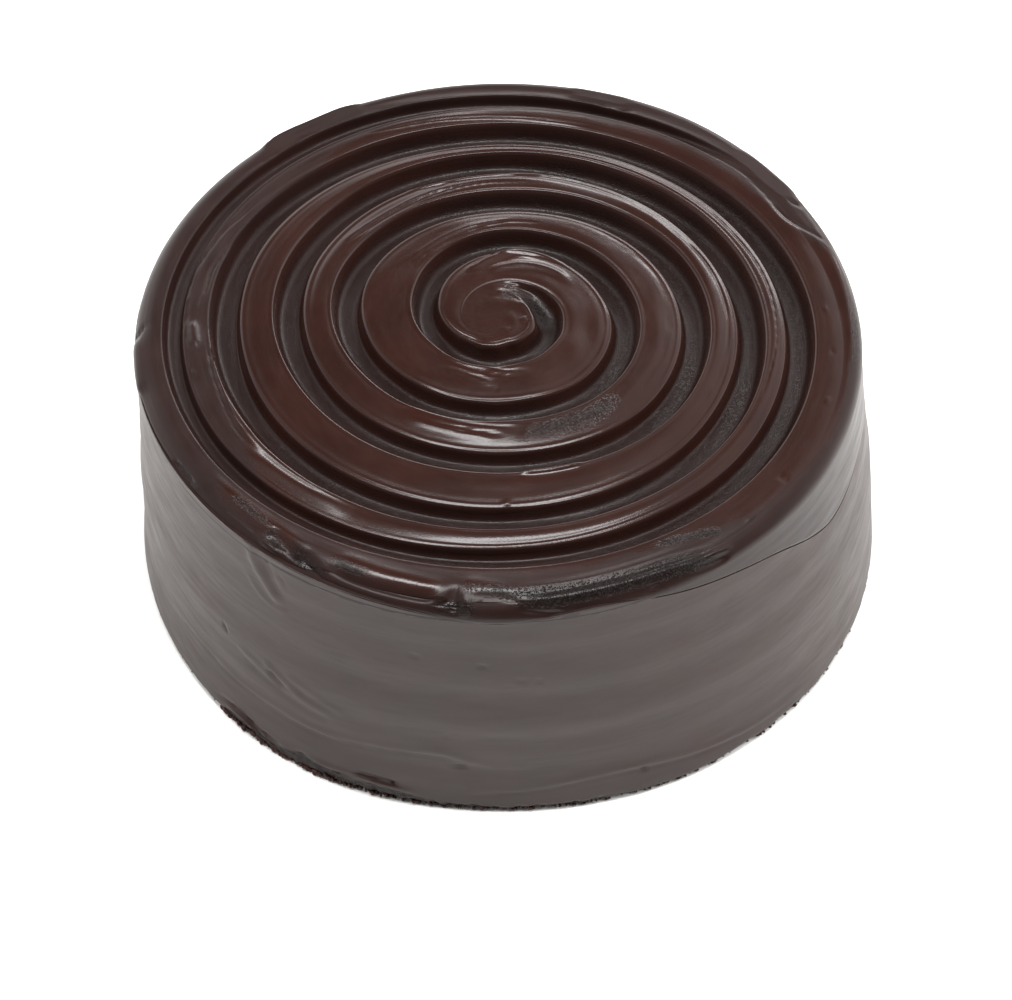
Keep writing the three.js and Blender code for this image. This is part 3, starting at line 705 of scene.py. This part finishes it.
# Rows of points across the groove, in millimetres from its centre line, and across a ridge.
GROOVE_MARKS = [
    -5.6, -5.25, -4.95, -4.7, -4.45, -4.2, -3.95, -3.65, -3.3, -2.8, -2.3, -1.8, -1.2, -0.5, 0.3,
    1.0, 1.7, 2.3, 2.8, 3.2, 3.6, 3.95, 4.3, 4.65, 5.1,
]
CROWN_SHARES = [0.08, 0.17, 0.26, 0.35, 0.44, 0.53, 0.62, 0.71, 0.8, 0.89, 0.96]
TURN_ROWS = len(GROOVE_MARKS) + len(CROWN_SHARES)


def swirl_grid():
    """Rows that follow the groove: radius of each row at each column."""
    share = np.arange(COLUMNS + 1) / COLUMNS
    rows = []
    for turns in range(FIRST_TURN, LAST_TURN + 1):
        turn = turns + share
        centre, scale = groove_radius(turn), groove_scale(turn)
        rows += [centre + mark * scale for mark in GROOVE_MARKS]
        start = centre + GROOVE_MARKS[-1] * scale
        end = groove_radius(turn + 1) + GROOVE_MARKS[0] * groove_scale(turn + 1)
        rows += [mix(start, end, crown) for crown in CROWN_SHARES]
    return np.array(rows)


def column_step(row, column):
    """Columns from one point to the next along a row."""
    turn = row / TURN_ROWS + FIRST_TURN + column / COLUMNS
    return CORE_STEP if turn < COARSE_TURNS else 2 if turn < MIDDLE_TURNS else 1


SHOULDER_STEPS, DOWN_STEPS = 24, 40  # points of the path over the shoulder and below it


def rim_path(share, rows):
    """Path over the shoulder and down to the lap's edge in even steps, one row of each:
    radii, heights, length from the start, and the surface's direction out and up."""
    width, top = around(SHOULDER_WIDTHS, share), around(SIDE_TOP_RADII, share)
    turn = np.arcsin(np.clip((SWIRL_RIM - top + width) / width, 0, 1))
    bend = mix(turn[:, None], np.pi / 2, np.linspace(0, 1, SHOULDER_STEPS))
    radii = top[:, None] - width[:, None] * (1 - np.sin(bend))
    heights = HEIGHT - SHOULDER_SHAPE * width[:, None] * (1 - np.cos(bend))
    steps_down = np.linspace(0, 1, DOWN_STEPS)
    down = mix(heights[:, -1:], around(LAP_EDGE, share)[:, None], steps_down)
    side = side_radius(share[:, None], down)
    radii = np.hstack([np.full((len(share), 1), SWIRL_RIM), radii, side])
    heights = np.hstack([HEIGHT - shoulder_drop(share, SWIRL_RIM)[:, None], heights, down])
    length = np.hypot(np.diff(radii, axis=1), np.diff(heights, axis=1)).cumsum(axis=1)
    length = np.hstack([np.zeros((len(share), 1)), length])
    steps = np.linspace(0, 1, rows)
    r = np.array([np.interp(steps * l[-1], l, values) for l, values in zip(length, radii)]).T
    z = np.array([np.interp(steps * l[-1], l, values) for l, values in zip(length, heights)]).T
    out, up = -np.gradient(z, axis=0), np.gradient(r, axis=0)
    size = np.hypot(out, up)
    return r, z, length[:, -1] * steps[:, None], out / size, up / size


MERGE_DISTANCE = 0.03  # rows this near the core or the rim end on it


def swirl_mesh(share):
    """Points and faces of the top from the core to the rim, in rows that follow the
    groove. Returns the points' shares and radii, the faces, and the numbers of the points
    on the core and on the rim."""
    grid = np.clip(swirl_grid(), CORE_RADIUS, SWIRL_RIM)
    numbers = np.full(grid.shape, -1)
    shares, radii = [], []

    def add(place_share, place_radius):
        shares.append(place_share)
        radii.append(place_radius)
        return len(radii) - 1

    core = [add(s, CORE_RADIUS) for s in share]
    rim = [add(s, SWIRL_RIM) for s in share]
    actives = []
    for row in range(len(grid)):
        columns = [0]
        while columns[-1] < COLUMNS:
            columns.append(columns[-1] + column_step(row, columns[-1]))
        actives.append(columns)
    for row in reversed(range(len(grid))):
        for column in actives[row]:
            radius = grid[row, column]
            if radius < CORE_RADIUS + MERGE_DISTANCE:
                numbers[row, column] = core[column % COLUMNS]
            elif radius > SWIRL_RIM - MERGE_DISTANCE:
                numbers[row, column] = rim[column % COLUMNS]
            elif column == COLUMNS:  # a row runs on in the next turn
                numbers[row, column] = numbers[row + TURN_ROWS, 0]
            else:
                numbers[row, column] = add(share[column], radius)
    faces = []
    for row in range(len(grid) - 1):
        outer = actives[row + 1]
        start = 0
        for left, right in zip(actives[row], actives[row][1:]):
            end = start
            while outer[end] < right:
                end += 1
            corners = [numbers[row, left]] + [numbers[row + 1, c] for c in outer[start : end + 1]]
            corners.append(numbers[row, right])
            start = end
            face = [int(c) for c, after in zip(corners, corners[1:] + corners[:1]) if c != after]
            if len(set(face)) > 2:
                faces.append(face)
    return np.array(shares), np.array(radii), faces, core, rim


LAP_ROWS = 36
LAP_STEP = 0.3  # how far the lap stands out from the side where the seam is open
LAP_EDGE_ROUNDING = 0.2
LAP_STREAKS = 0.1  # height of the streaks drawn round the lap


def lap_rings(share):
    """Rings of points over the shoulder and down to the lap's edge, with their finish."""
    radii, heights, reach, out, up = rim_path(share, LAP_ROWS)
    edge = around(LAP_EDGE, share)
    open_seam = np.clip(around(SEAM_OPEN, share), 0, 1)
    rings = []
    for row in range(1, LAP_ROWS):
        z, length = heights[row], SWIRL_RIM + reach[row]
        spots = round_places(share, length)
        drop = face_form(share, np.minimum(length, SWIRL_RIM + 3))[0]
        relief = marks_relief(spots[:, 0], spots[:, 1], TOP_MARKS, polar)
        relief = relief - drop * (1 - ease(0, 3.5, reach[row]))
        relief = relief + side_relief(share, z) * ease(1, 5, reach[row])
        dragged = streaks(share, length, 30, 2.4, 17) * ease(0, 2, reach[row])
        relief = relief + LAP_STREAKS * dragged
        above = np.maximum(z - edge, 0)
        rounding = np.clip(LAP_EDGE_ROUNDING - above, 0, None)
        tuck = (LAP_EDGE_ROUNDING - np.sqrt(LAP_EDGE_ROUNDING**2 - rounding**2)) * open_seam
        relief = relief + LAP_STEP * ease(1, 5, HEIGHT - z) * open_seam - tuck
        ring = leaning(share, radii[row] + relief * out[row], z + relief * up[row], z)
        finish = np.stack(face_finish(share, length, np.zeros(COLUMNS)), axis=1)
        rings.append((ring, finish))
    return rings


def bed_rings(share, edge, gap):
    """Rings of points from the lap's edge in to the flat bed, a gap below the fudge layer."""
    inner = shell_radius(share, edge) - LAP_THICKNESS - gap
    bed = np.full(len(share), HEIGHT - LAYER_THICKNESS - gap)
    turn_radius = np.minimum(inner - 1, BED_TURN_RADIUS)
    return [
        leaning(share, inner, edge),
        leaning(share, turn_radius, np.maximum(bed, edge)),
        leaning(share, np.full(len(share), BED_RADIUS), bed),
    ]


def without_unused(points, values, faces):
    """The same mesh without the points that no face has."""
    used = np.unique(np.concatenate([np.array(face) for face in faces]))
    renumber = np.full(len(points), -1)
    renumber[used] = np.arange(len(used))
    return points[used], values[used], [[int(renumber[c]) for c in face] for face in faces]


FLOOR_SMOOTHING = 0.8  # how much of a mark the tool smoothed away on the groove's floor
MIDDLE_DROP = 0.05  # of the middle point below the ridges' level


def make_fudge_layer(material):
    """The fudge on top, down to the lap's edge, and its flat underside."""
    share = np.arange(COLUMNS) / COLUMNS
    shares, radii, faces, core, rim = swirl_mesh(share)
    drop, floor = face_form(shares, radii)
    spots = round_places(shares, radii)
    marks = marks_relief(spots[:, 0], spots[:, 1], TOP_MARKS, polar)
    drop = drop + shoulder_drop(shares, radii)
    drop = np.maximum(drop - marks * (1 - FLOOR_SMOOTHING * floor), 0)
    points = [leaning(shares, radii, HEIGHT - drop, HEIGHT)]
    values = [np.stack(face_finish(shares, radii, floor), axis=1)]
    bare = np.zeros((COLUMNS, 2))
    underside = bed_rings(share, around(LAP_EDGE, share), 0)
    last, count = np.array(rim), len(radii)
    for ring_points, ring_values in lap_rings(share) + [(ring, bare) for ring in underside]:
        points.append(ring_points)
        values.append(ring_values)
        ring = np.arange(COLUMNS) + count
        faces += np.stack([last, ring, np.roll(ring, -1), np.roll(last, -1)], axis=1).tolist()
        last, count = ring, count + COLUMNS
    middle = np.array([HEIGHT - LAYER_THICKNESS, HEIGHT - FACE_LEVEL - MIDDLE_DROP])
    points.append(leaning(np.zeros(2), np.zeros(2), middle))
    values.append(np.array([(0, 0), (POURED_GLOSS, 0)]))
    faces += [[int(a), count, int(b)] for a, b in zip(last, np.roll(last, -1))]
    inner_core = core[::CORE_STEP]
    faces += [[a, b, count + 1] for a, b in zip(inner_core, inner_core[1:] + inner_core[:1])]
    points, values, faces = without_unused(np.vstack(points), np.vstack(values), faces)
    # The torn mask also paints shade: darker groove floors, notches and tears.
    masks = {"gloss": values[:, 0], "torn_and_shade": values[:, 1]}
    piece = new_piece("fudge_layer", points, faces, material, masks)
    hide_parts("fudge_top")


# ---- cake side ----

SIDE_COLUMNS = 800
FOOT_HEIGHTS = [  # rows of points up the foot
    0, 0.3, 0.65, 1.0, 1.4, 1.9, 2.4, 2.9, 3.4, 3.9, 4.4, 5, 5.6, 6.2, 6.9, 7.6, 8.4, 9.2, 10,
]
UPPER_ROWS = 72
SEAM_ROWS = [0.9, 0.7, 0.5, 0.36, 0.24, 0.12, 0]  # rows just below the lap's edge
SIDE_GAP, OPEN_GAP = 0.06, 0.1  # under the lap's edge, and more where the seam is open
SEAM_DEPTH, SEAM_HEIGHT = 1.1, 0.34  # the crevice in the side under the lap's edge


def make_cake_side(material):
    """The cake's side with its fudge, its torn foot, and the bed under the top layer."""
    share = np.arange(SIDE_COLUMNS) / SIDE_COLUMNS
    open_seam = np.clip(around(SEAM_OPEN, share), 0, 1)
    edge = around(LAP_EDGE, share) - SIDE_GAP - OPEN_GAP * open_seam
    points, faces, torn_and_shade_values = [], [], []
    heights = [np.full(SIDE_COLUMNS, z) for z in FOOT_HEIGHTS]
    start, end = FOOT_HEIGHTS[-1], edge - SEAM_ROWS[0]
    heights += [mix(start, end, step) for step in np.linspace(0, 1, UPPER_ROWS)[1:-1]]
    heights += [edge - below for below in SEAM_ROWS]
    for z in heights:
        torn_and_shade, tearing = torn_and_shaded_foot(share, z)
        radius = side_radius(share, z) + side_relief(share, z) * (1 - 0.5 * torn_and_shade) + tearing
        crevice = 1 - ease(SEAM_HEIGHT / 2, SEAM_HEIGHT, edge - z)
        radius = radius - SEAM_DEPTH * crevice * open_seam
        points.append(leaning(share, radius, z))
        torn_and_shade_values.append(torn_and_shade)
    points += bed_rings(share, edge, CONTACT_GAP)
    rows = len(points)
    numbers = np.arange(rows * SIDE_COLUMNS).reshape(rows, SIDE_COLUMNS)
    for low, high in zip(numbers, numbers[1:]):
        faces += np.stack([low, np.roll(low, -1), np.roll(high, -1), high], axis=1).tolist()
    count = rows * SIDE_COLUMNS
    middle = np.array([0, HEIGHT - LAYER_THICKNESS - CONTACT_GAP])  # of the foot and the bed
    points.append(leaning(np.zeros(2), np.zeros(2), middle))
    faces += [[int(b), int(a), count] for a, b in zip(numbers[0], np.roll(numbers[0], -1))]
    faces += [[int(a), int(b), count + 1] for a, b in zip(numbers[-1], np.roll(numbers[-1], -1))]
    torn_and_shade = np.concatenate(torn_and_shade_values + [np.zeros(3 * SIDE_COLUMNS + 2)])
    # The torn mask also paints shade: the foot is darker under its flakes.
    masks = {"torn_and_shade": torn_and_shade, "gloss": np.zeros(len(torn_and_shade))}
    piece = new_piece("fudge_side", np.vstack(points), faces, material, masks)
    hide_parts("cake")


CRUMBS = [
    # how many, from and to in degrees clockwise, and about the largest radius
    (230, 204, 228, 1.2), (120, 178, 206, 0.9), (70, 150, 178, 0.8), (60, 112, 150, 0.8),
    (30, 228, 300, 0.6), (70, 300, 360, 0.8), (80, 0, 112, 0.8),
]
CRUMB_SEED = 71
CRUMB_BULGES = 0.55  # height of the bulges over the radius
CRUMB_SINK = (-0.9, -0.25)  # from the side's surface out to the middle of each
CRUMB_RISE = 0.8  # smaller ones than this stick up to this far above the floor
TOE_CLEARANCE = 0.8  # the side's surface is taken this much higher than the crumb
CRUMB_TORN, CRUMB_GLOSS = 0.45, 0.3


def make_foot_crumbs(material):
    """Crumbs of cake and fudge pressed against the foot, as one mesh of lumpy bits."""
    rng = np.random.default_rng(CRUMB_SEED)
    source = bmesh.new()
    bmesh.ops.create_icosphere(source, subdivisions=2, radius=1)
    ball = np.array([v.co for v in source.verts])
    ball_faces = np.array([[v.index for v in face.verts] for face in source.faces])
    source.free()
    points, faces = [], []
    for count, start, end, largest in CRUMBS:
        for _ in range(count):
            share = rng.uniform(start, end) / 360
            size = largest * rng.uniform(0.35, 1) * rng.uniform(0.6, 1)
            bulges = lumps(ball * 0.9 + rng.uniform(0, 30, 3), 0.8, 72)
            shape = ball * (1 + CRUMB_BULGES * bulges[:, None])
            shape = shape * rng.uniform(0.5, 1, 3) * size
            turn = rng.uniform(0, 2 * np.pi)
            spin = np.array([[np.cos(turn), -np.sin(turn)], [np.sin(turn), np.cos(turn)]])
            shape[:, :2] = shape[:, :2] @ spin
            z = -shape[:, 2].min() + rng.uniform(0, CRUMB_RISE) * (size < CRUMB_RISE)
            radius = side_radius(share, z + TOE_CLEARANCE) + rng.uniform(*CRUMB_SINK)
            faces.append(ball_faces + len(ball) * len(points))
            points.append(shape + leaning(share, radius, z))
    points = np.vstack(points)
    masks = {"torn_and_shade": np.full(len(points), CRUMB_TORN), "gloss": np.full(len(points), CRUMB_GLOSS)}
    faces = np.vstack(faces).tolist()
    new_piece("foot_crumbs", points, faces, material, masks)


# ---- finishes ----


def linear(colour):
    """Linear RGBA of an sRGB hex colour."""
    parts = [int(colour[i : i + 2], 16) / 255 for i in (1, 3, 5)]
    return [p / 12.92 if p < 0.04045 else ((p + 0.055) / 1.055) ** 2.4 for p in parts] + [1]


def add_node(tree, kind, links=None, **settings):
    """Adds a node. links gives each named or numbered input a value or another output."""
    node = tree.nodes.new(kind)
    for name, value in settings.items():
        setattr(node, name, value)
    for name, value in (links or {}).items():
        if isinstance(value, bpy.types.NodeSocket):
            tree.links.new(value, node.inputs[name])
        else:
            node.inputs[name].default_value = value
    return node


def new_material(name):
    """An empty material and its node tree."""
    material = bpy.data.materials.new(name)
    material.use_nodes = True
    material.node_tree.nodes.clear()
    return material, material.node_tree


def drawn_round(tree, round_size, across_size):
    """Coordinates in metres that run round the cake and across it, so that noise is drawn
    out one way or the other. round_size is the radius on which the first way is measured."""
    where = add_node(tree, "ShaderNodeTexCoord").outputs["Object"]
    flat = add_node(tree, "ShaderNodeVectorMath", {0: where, 1: (1, 1, 0)}, operation="MULTIPLY")
    radius = add_node(tree, "ShaderNodeVectorMath", {0: flat.outputs[0]}, operation="LENGTH")
    turned = add_node(tree, "ShaderNodeVectorMath", {0: flat.outputs[0]}, operation="NORMALIZE")
    height = add_node(tree, "ShaderNodeSeparateXYZ", {0: where}).outputs[2]
    across = add_node(
        tree, "ShaderNodeMath", {0: radius.outputs["Value"], 1: height}, operation="ADD"
    )
    across = add_node(tree, "ShaderNodeCombineXYZ", {2: across.outputs[0]})
    long_way = add_node(
        tree, "ShaderNodeVectorMath",
        {0: turned.outputs[0], 1: (round_size,) * 3}, operation="MULTIPLY",
    )
    return add_node(
        tree, "ShaderNodeVectorMath",
        {0: across.outputs[0], 1: (across_size,) * 3, 2: long_way.outputs[0]},
        operation="MULTIPLY_ADD",
    ).outputs[0]


FUDGE_IOR = 1.46  # between cocoa butter and sugar syrup
# Millimetres from one lump of a pattern to the next. Real grains of sugar are finer: they
# are drawn as coarse as they need to show.
GRAINS, TONES, DRAG_LINES, STRIPES = 0.435, 14.3, 1.25, 1


def scale_of(size):
    """Scale of a noise whose lumps are this many millimetres apart."""
    return round(1 / (size * MM), -1)


def fudge(name, colours, satin, glossy, torn_roughness, dull=None):
    """Chocolate fudge. Smoothed or drawn it is satin with faint drag lines, where it was
    poured it is glossy, and where it was torn it breaks into grains that sparkle and is
    painted darker, as painted shade in its cavities. colours are those of the satin, the
    gloss and the torn fudge with that painted shade. dull, if given, is how much the satin
    mirrors, where gloss has 0.5."""
    satin_colour, gloss_colour, torn_and_shade_colour = (linear(colour) for colour in colours)
    material, tree = new_material(name)
    gloss = add_node(tree, "ShaderNodeAttribute", attribute_name="gloss").outputs["Fac"]
    torn_and_shade = add_node(tree, "ShaderNodeAttribute", attribute_name="torn_and_shade").outputs["Fac"]
    where = add_node(tree, "ShaderNodeTexCoord").outputs["Object"]
    round_cake = drawn_round(tree, 0.012, 1)  # draws lumps out to 8 times their length
    across_ridges = drawn_round(tree, 0.07, 0.3)  # to 3.3 times across the ridges
    grains, tones, drag, stripes = (
        add_node(
            tree, "ShaderNodeTexNoise", {"Vector": way, "Scale": scale_of(size), "Detail": detail}
        ).outputs["Fac"]
        for way, size, detail in (
            (where, GRAINS, 3), (where, TONES, 3), (round_cake, DRAG_LINES, 3),
            (across_ridges, STRIPES, 2),
        )
    )
    bits = add_node(
        tree, "ShaderNodeMapRange", {"Value": grains, 1: 0.52, 2: 0.72},
        interpolation_type="SMOOTHSTEP",
    ).outputs[0]
    colour = add_node(
        tree, "ShaderNodeMix", {0: gloss, 6: satin_colour, 7: gloss_colour}, data_type="RGBA"
    )
    colour = add_node(
        tree, "ShaderNodeMix", {0: torn_and_shade, 6: colour.outputs[2], 7: torn_and_shade_colour}, data_type="RGBA"
    )
    tone = add_node(
        tree, "ShaderNodeMapRange", {"Value": tones, 1: 0.3, 2: 0.7, 3: 0.86, 4: 1.14}
    )
    colour = add_node(
        tree, "ShaderNodeVectorMath",
        {0: colour.outputs[2], 1: tone.outputs[0]}, operation="MULTIPLY",
    )
    roughness = add_node(tree, "ShaderNodeMapRange", {"Value": gloss, 3: satin, 4: glossy})
    roughness = add_node(
        tree, "ShaderNodeMapRange", {"Value": torn_and_shade, 3: roughness.outputs[0], 4: torn_roughness}
    )
    worn = add_node(
        tree, "ShaderNodeMapRange", {"Value": drag, 1: 0.3, 2: 0.7, 3: 0.88, 4: 1.14}
    )
    roughness = add_node(
        tree, "ShaderNodeMath", {0: roughness.outputs[0], 1: worn.outputs[0]}, operation="MULTIPLY"
    )
    # Each relief is laid over the one before: its pattern, a mask, the strength where the
    # mask is 0 and where it is 1, and the height in millimetres.
    relief = {}
    for height, mask, low, high, distance in (
        (drag, gloss, 0.2, 0.1, 0.12),
        (stripes, torn_and_shade, 0.0, 0.6, 0.3),
        (bits, torn_and_shade, 0.06, 0.7, 0.35),
    ):
        strength = add_node(
            tree, "ShaderNodeMapRange", {"Value": mask, 3: low, 4: high}
        ).outputs[0]
        links = {"Strength": strength, "Distance": distance * MM, "Height": height}
        relief = {"Normal": add_node(tree, "ShaderNodeBump", links | relief).outputs[0]}
    shader = add_node(
        tree, "ShaderNodeBsdfPrincipled",
        {
            "Base Color": colour.outputs[0], "Roughness": roughness.outputs[0],
            "IOR": FUDGE_IOR, **relief,
        },
    )
    if dull is not None:  # the satin fudge scatters part of what it would mirror
        level = add_node(tree, "ShaderNodeMapRange", {"Value": gloss, 2: 0.6, 3: dull, 4: 0.5})
        tree.links.new(level.outputs[0], shader.inputs["Specular IOR Level"])
    add_node(tree, "ShaderNodeOutputMaterial", {"Surface": shader.outputs[0]})
    return material


# Fudge poured and then drawn with a tool: dark and wet on the ridges, satin at the rim.
# Its third colour, near black, is torn fudge with painted shade: groove floors, notches and tears
# look darker for it.
set_fudge = fudge(
    "set_fudge", ("#20120f", "#28140f", "#120a08"),
    satin=0.34, glossy=0.14, torn_roughness=0.3, dull=0.34,
)
# Fudge smoothed with a spatula: an even satin that shows soft bands.
# Its third colour is the torn foot, with painted shade under its flakes.
smoothed_fudge = fudge(
    "smoothed_fudge", ("#27140e", "#27140e", "#170a06"),
    satin=0.42, glossy=0.2, torn_roughness=0.5,
)
# Cake crumb torn off with its fudge: redder, and rough.
torn_crumb = fudge(
    "torn_crumb", ("#34140c", "#34140c", "#2c110b"),
    satin=0.5, glossy=0.3, torn_roughness=0.5,
)
make_fudge_layer(set_fudge)
make_cake_side(smoothed_fudge)
make_foot_crumbs(torn_crumb)

# ---- studio ----


def make_floor():
    """Matt white paper: pale, with no shine of its own."""
    mesh = bpy.data.meshes.new("floor")
    mesh.from_pydata([(-4, -4, 0), (4, -4, 0), (4, 4, 0), (-4, 4, 0)], [], [(0, 1, 2, 3)])
    material, tree = new_material("matt_white_paper")
    shader = add_node(
        tree, "ShaderNodeBsdfPrincipled",
        {"Base Color": linear("#f4f3f1"), "Roughness": 0.9, "Specular IOR Level": 0.1},
    )
    add_node(tree, "ShaderNodeOutputMaterial", {"Surface": shader.outputs[0]})
    mesh.materials.append(material)
    floor = bpy.data.objects.new("floor", mesh)
    bpy.context.scene.collection.objects.link(floor)


def add_light(name, place, width, depth, radiance, shows=True):
    """A rectangular light that faces the cake's middle. shows tells if gloss mirrors it."""
    light = bpy.data.lights.new(name, "AREA")
    light.shape, light.size, light.size_y = "RECTANGLE", width, depth
    light.energy = radiance * width * depth * math.pi
    lamp = bpy.data.objects.new(name, light)
    lamp.location = place
    towards = Vector((0, 0, 0.05)) - Vector(place)
    lamp.rotation_euler = towards.to_track_quat("-Z", "Y").to_euler()
    lamp.visible_glossy = shows
    bpy.context.scene.collection.objects.link(lamp)


DARK_CLOTH = (-0.17, 0.65, 0.74)  # the way to the cloth that the flat top mirrors
CLOTH_EDGE = (0.905, 0.998)  # cosines of the angles from it where its soft edge is
BRIGHT_TURN = 15  # the sky is brightest this many degrees from the back to the right
DARKEST = 0.07


def make_studio():
    """Soft light all round, brightest low behind the cake, with a dark cloth where the flat
    top would mirror it. Gloss also mirrors a soft box straight above and a low window behind
    on the right. A fill above and a white board on each side only light the cake."""
    world = bpy.data.worlds.new("studio")
    bpy.context.scene.world = world
    world.use_nodes = True
    tree = world.node_tree
    tree.nodes.clear()
    way = add_node(tree, "ShaderNodeTexCoord").outputs["Generated"]

    def facing(direction, low, high, dark, bright):
        """Goes from dark to bright as the cosine to the direction goes from low to high."""
        towards = add_node(
            tree, "ShaderNodeVectorMath", {0: way, 1: direction}, operation="DOT_PRODUCT"
        ).outputs["Value"]
        return add_node(
            tree, "ShaderNodeMapRange", {"Value": towards, 1: low, 2: high, 3: dark, 4: bright},
            interpolation_type="SMOOTHSTEP",
        ).outputs[0]

    turned = math.radians(BRIGHT_TURN)
    parts = [
        facing(DARK_CLOTH, *CLOTH_EDGE, 1, 0),
        facing((0, 0, 1), 0.25, 0.8, 1.9, 0.75),
        facing((0, 1, 0), -0.5, 0.1, 0.2, 1),
        facing((math.sin(turned), math.cos(turned), 0), -0.3, 0.7, 0.5, 1),
    ]
    light = parts[0]
    for part in parts[1:]:
        light = add_node(
            tree, "ShaderNodeMath", {0: light, 1: part}, operation="MULTIPLY"
        ).outputs[0]
    light = add_node(tree, "ShaderNodeMath", {0: light, 1: DARKEST}, operation="ADD").outputs[0]
    sky = add_node(tree, "ShaderNodeBackground", {"Strength": light})
    add_node(tree, "ShaderNodeOutputWorld", {"Surface": sky.outputs[0]})
    add_light("soft_box", (0, 0.02, 1.3), 0.8, 0.3, 15)
    add_light("low_window", (0.55, 2.0, 1.0), 1.3, 0.3, 8)
    add_light("top_fill", (0, 0.02, 1.5), 0.9, 0.6, 6, shows=False)
    add_light("right_board", (2.2, 0.3, 1.5), 2.0, 2.0, 7, shows=False)
    add_light("left_board", (-2.2, 0.3, 1.5), 2.0, 2.0, 4, shows=False)


make_floor()
make_studio()
bpy.context.scene.view_settings.view_transform = "Standard"
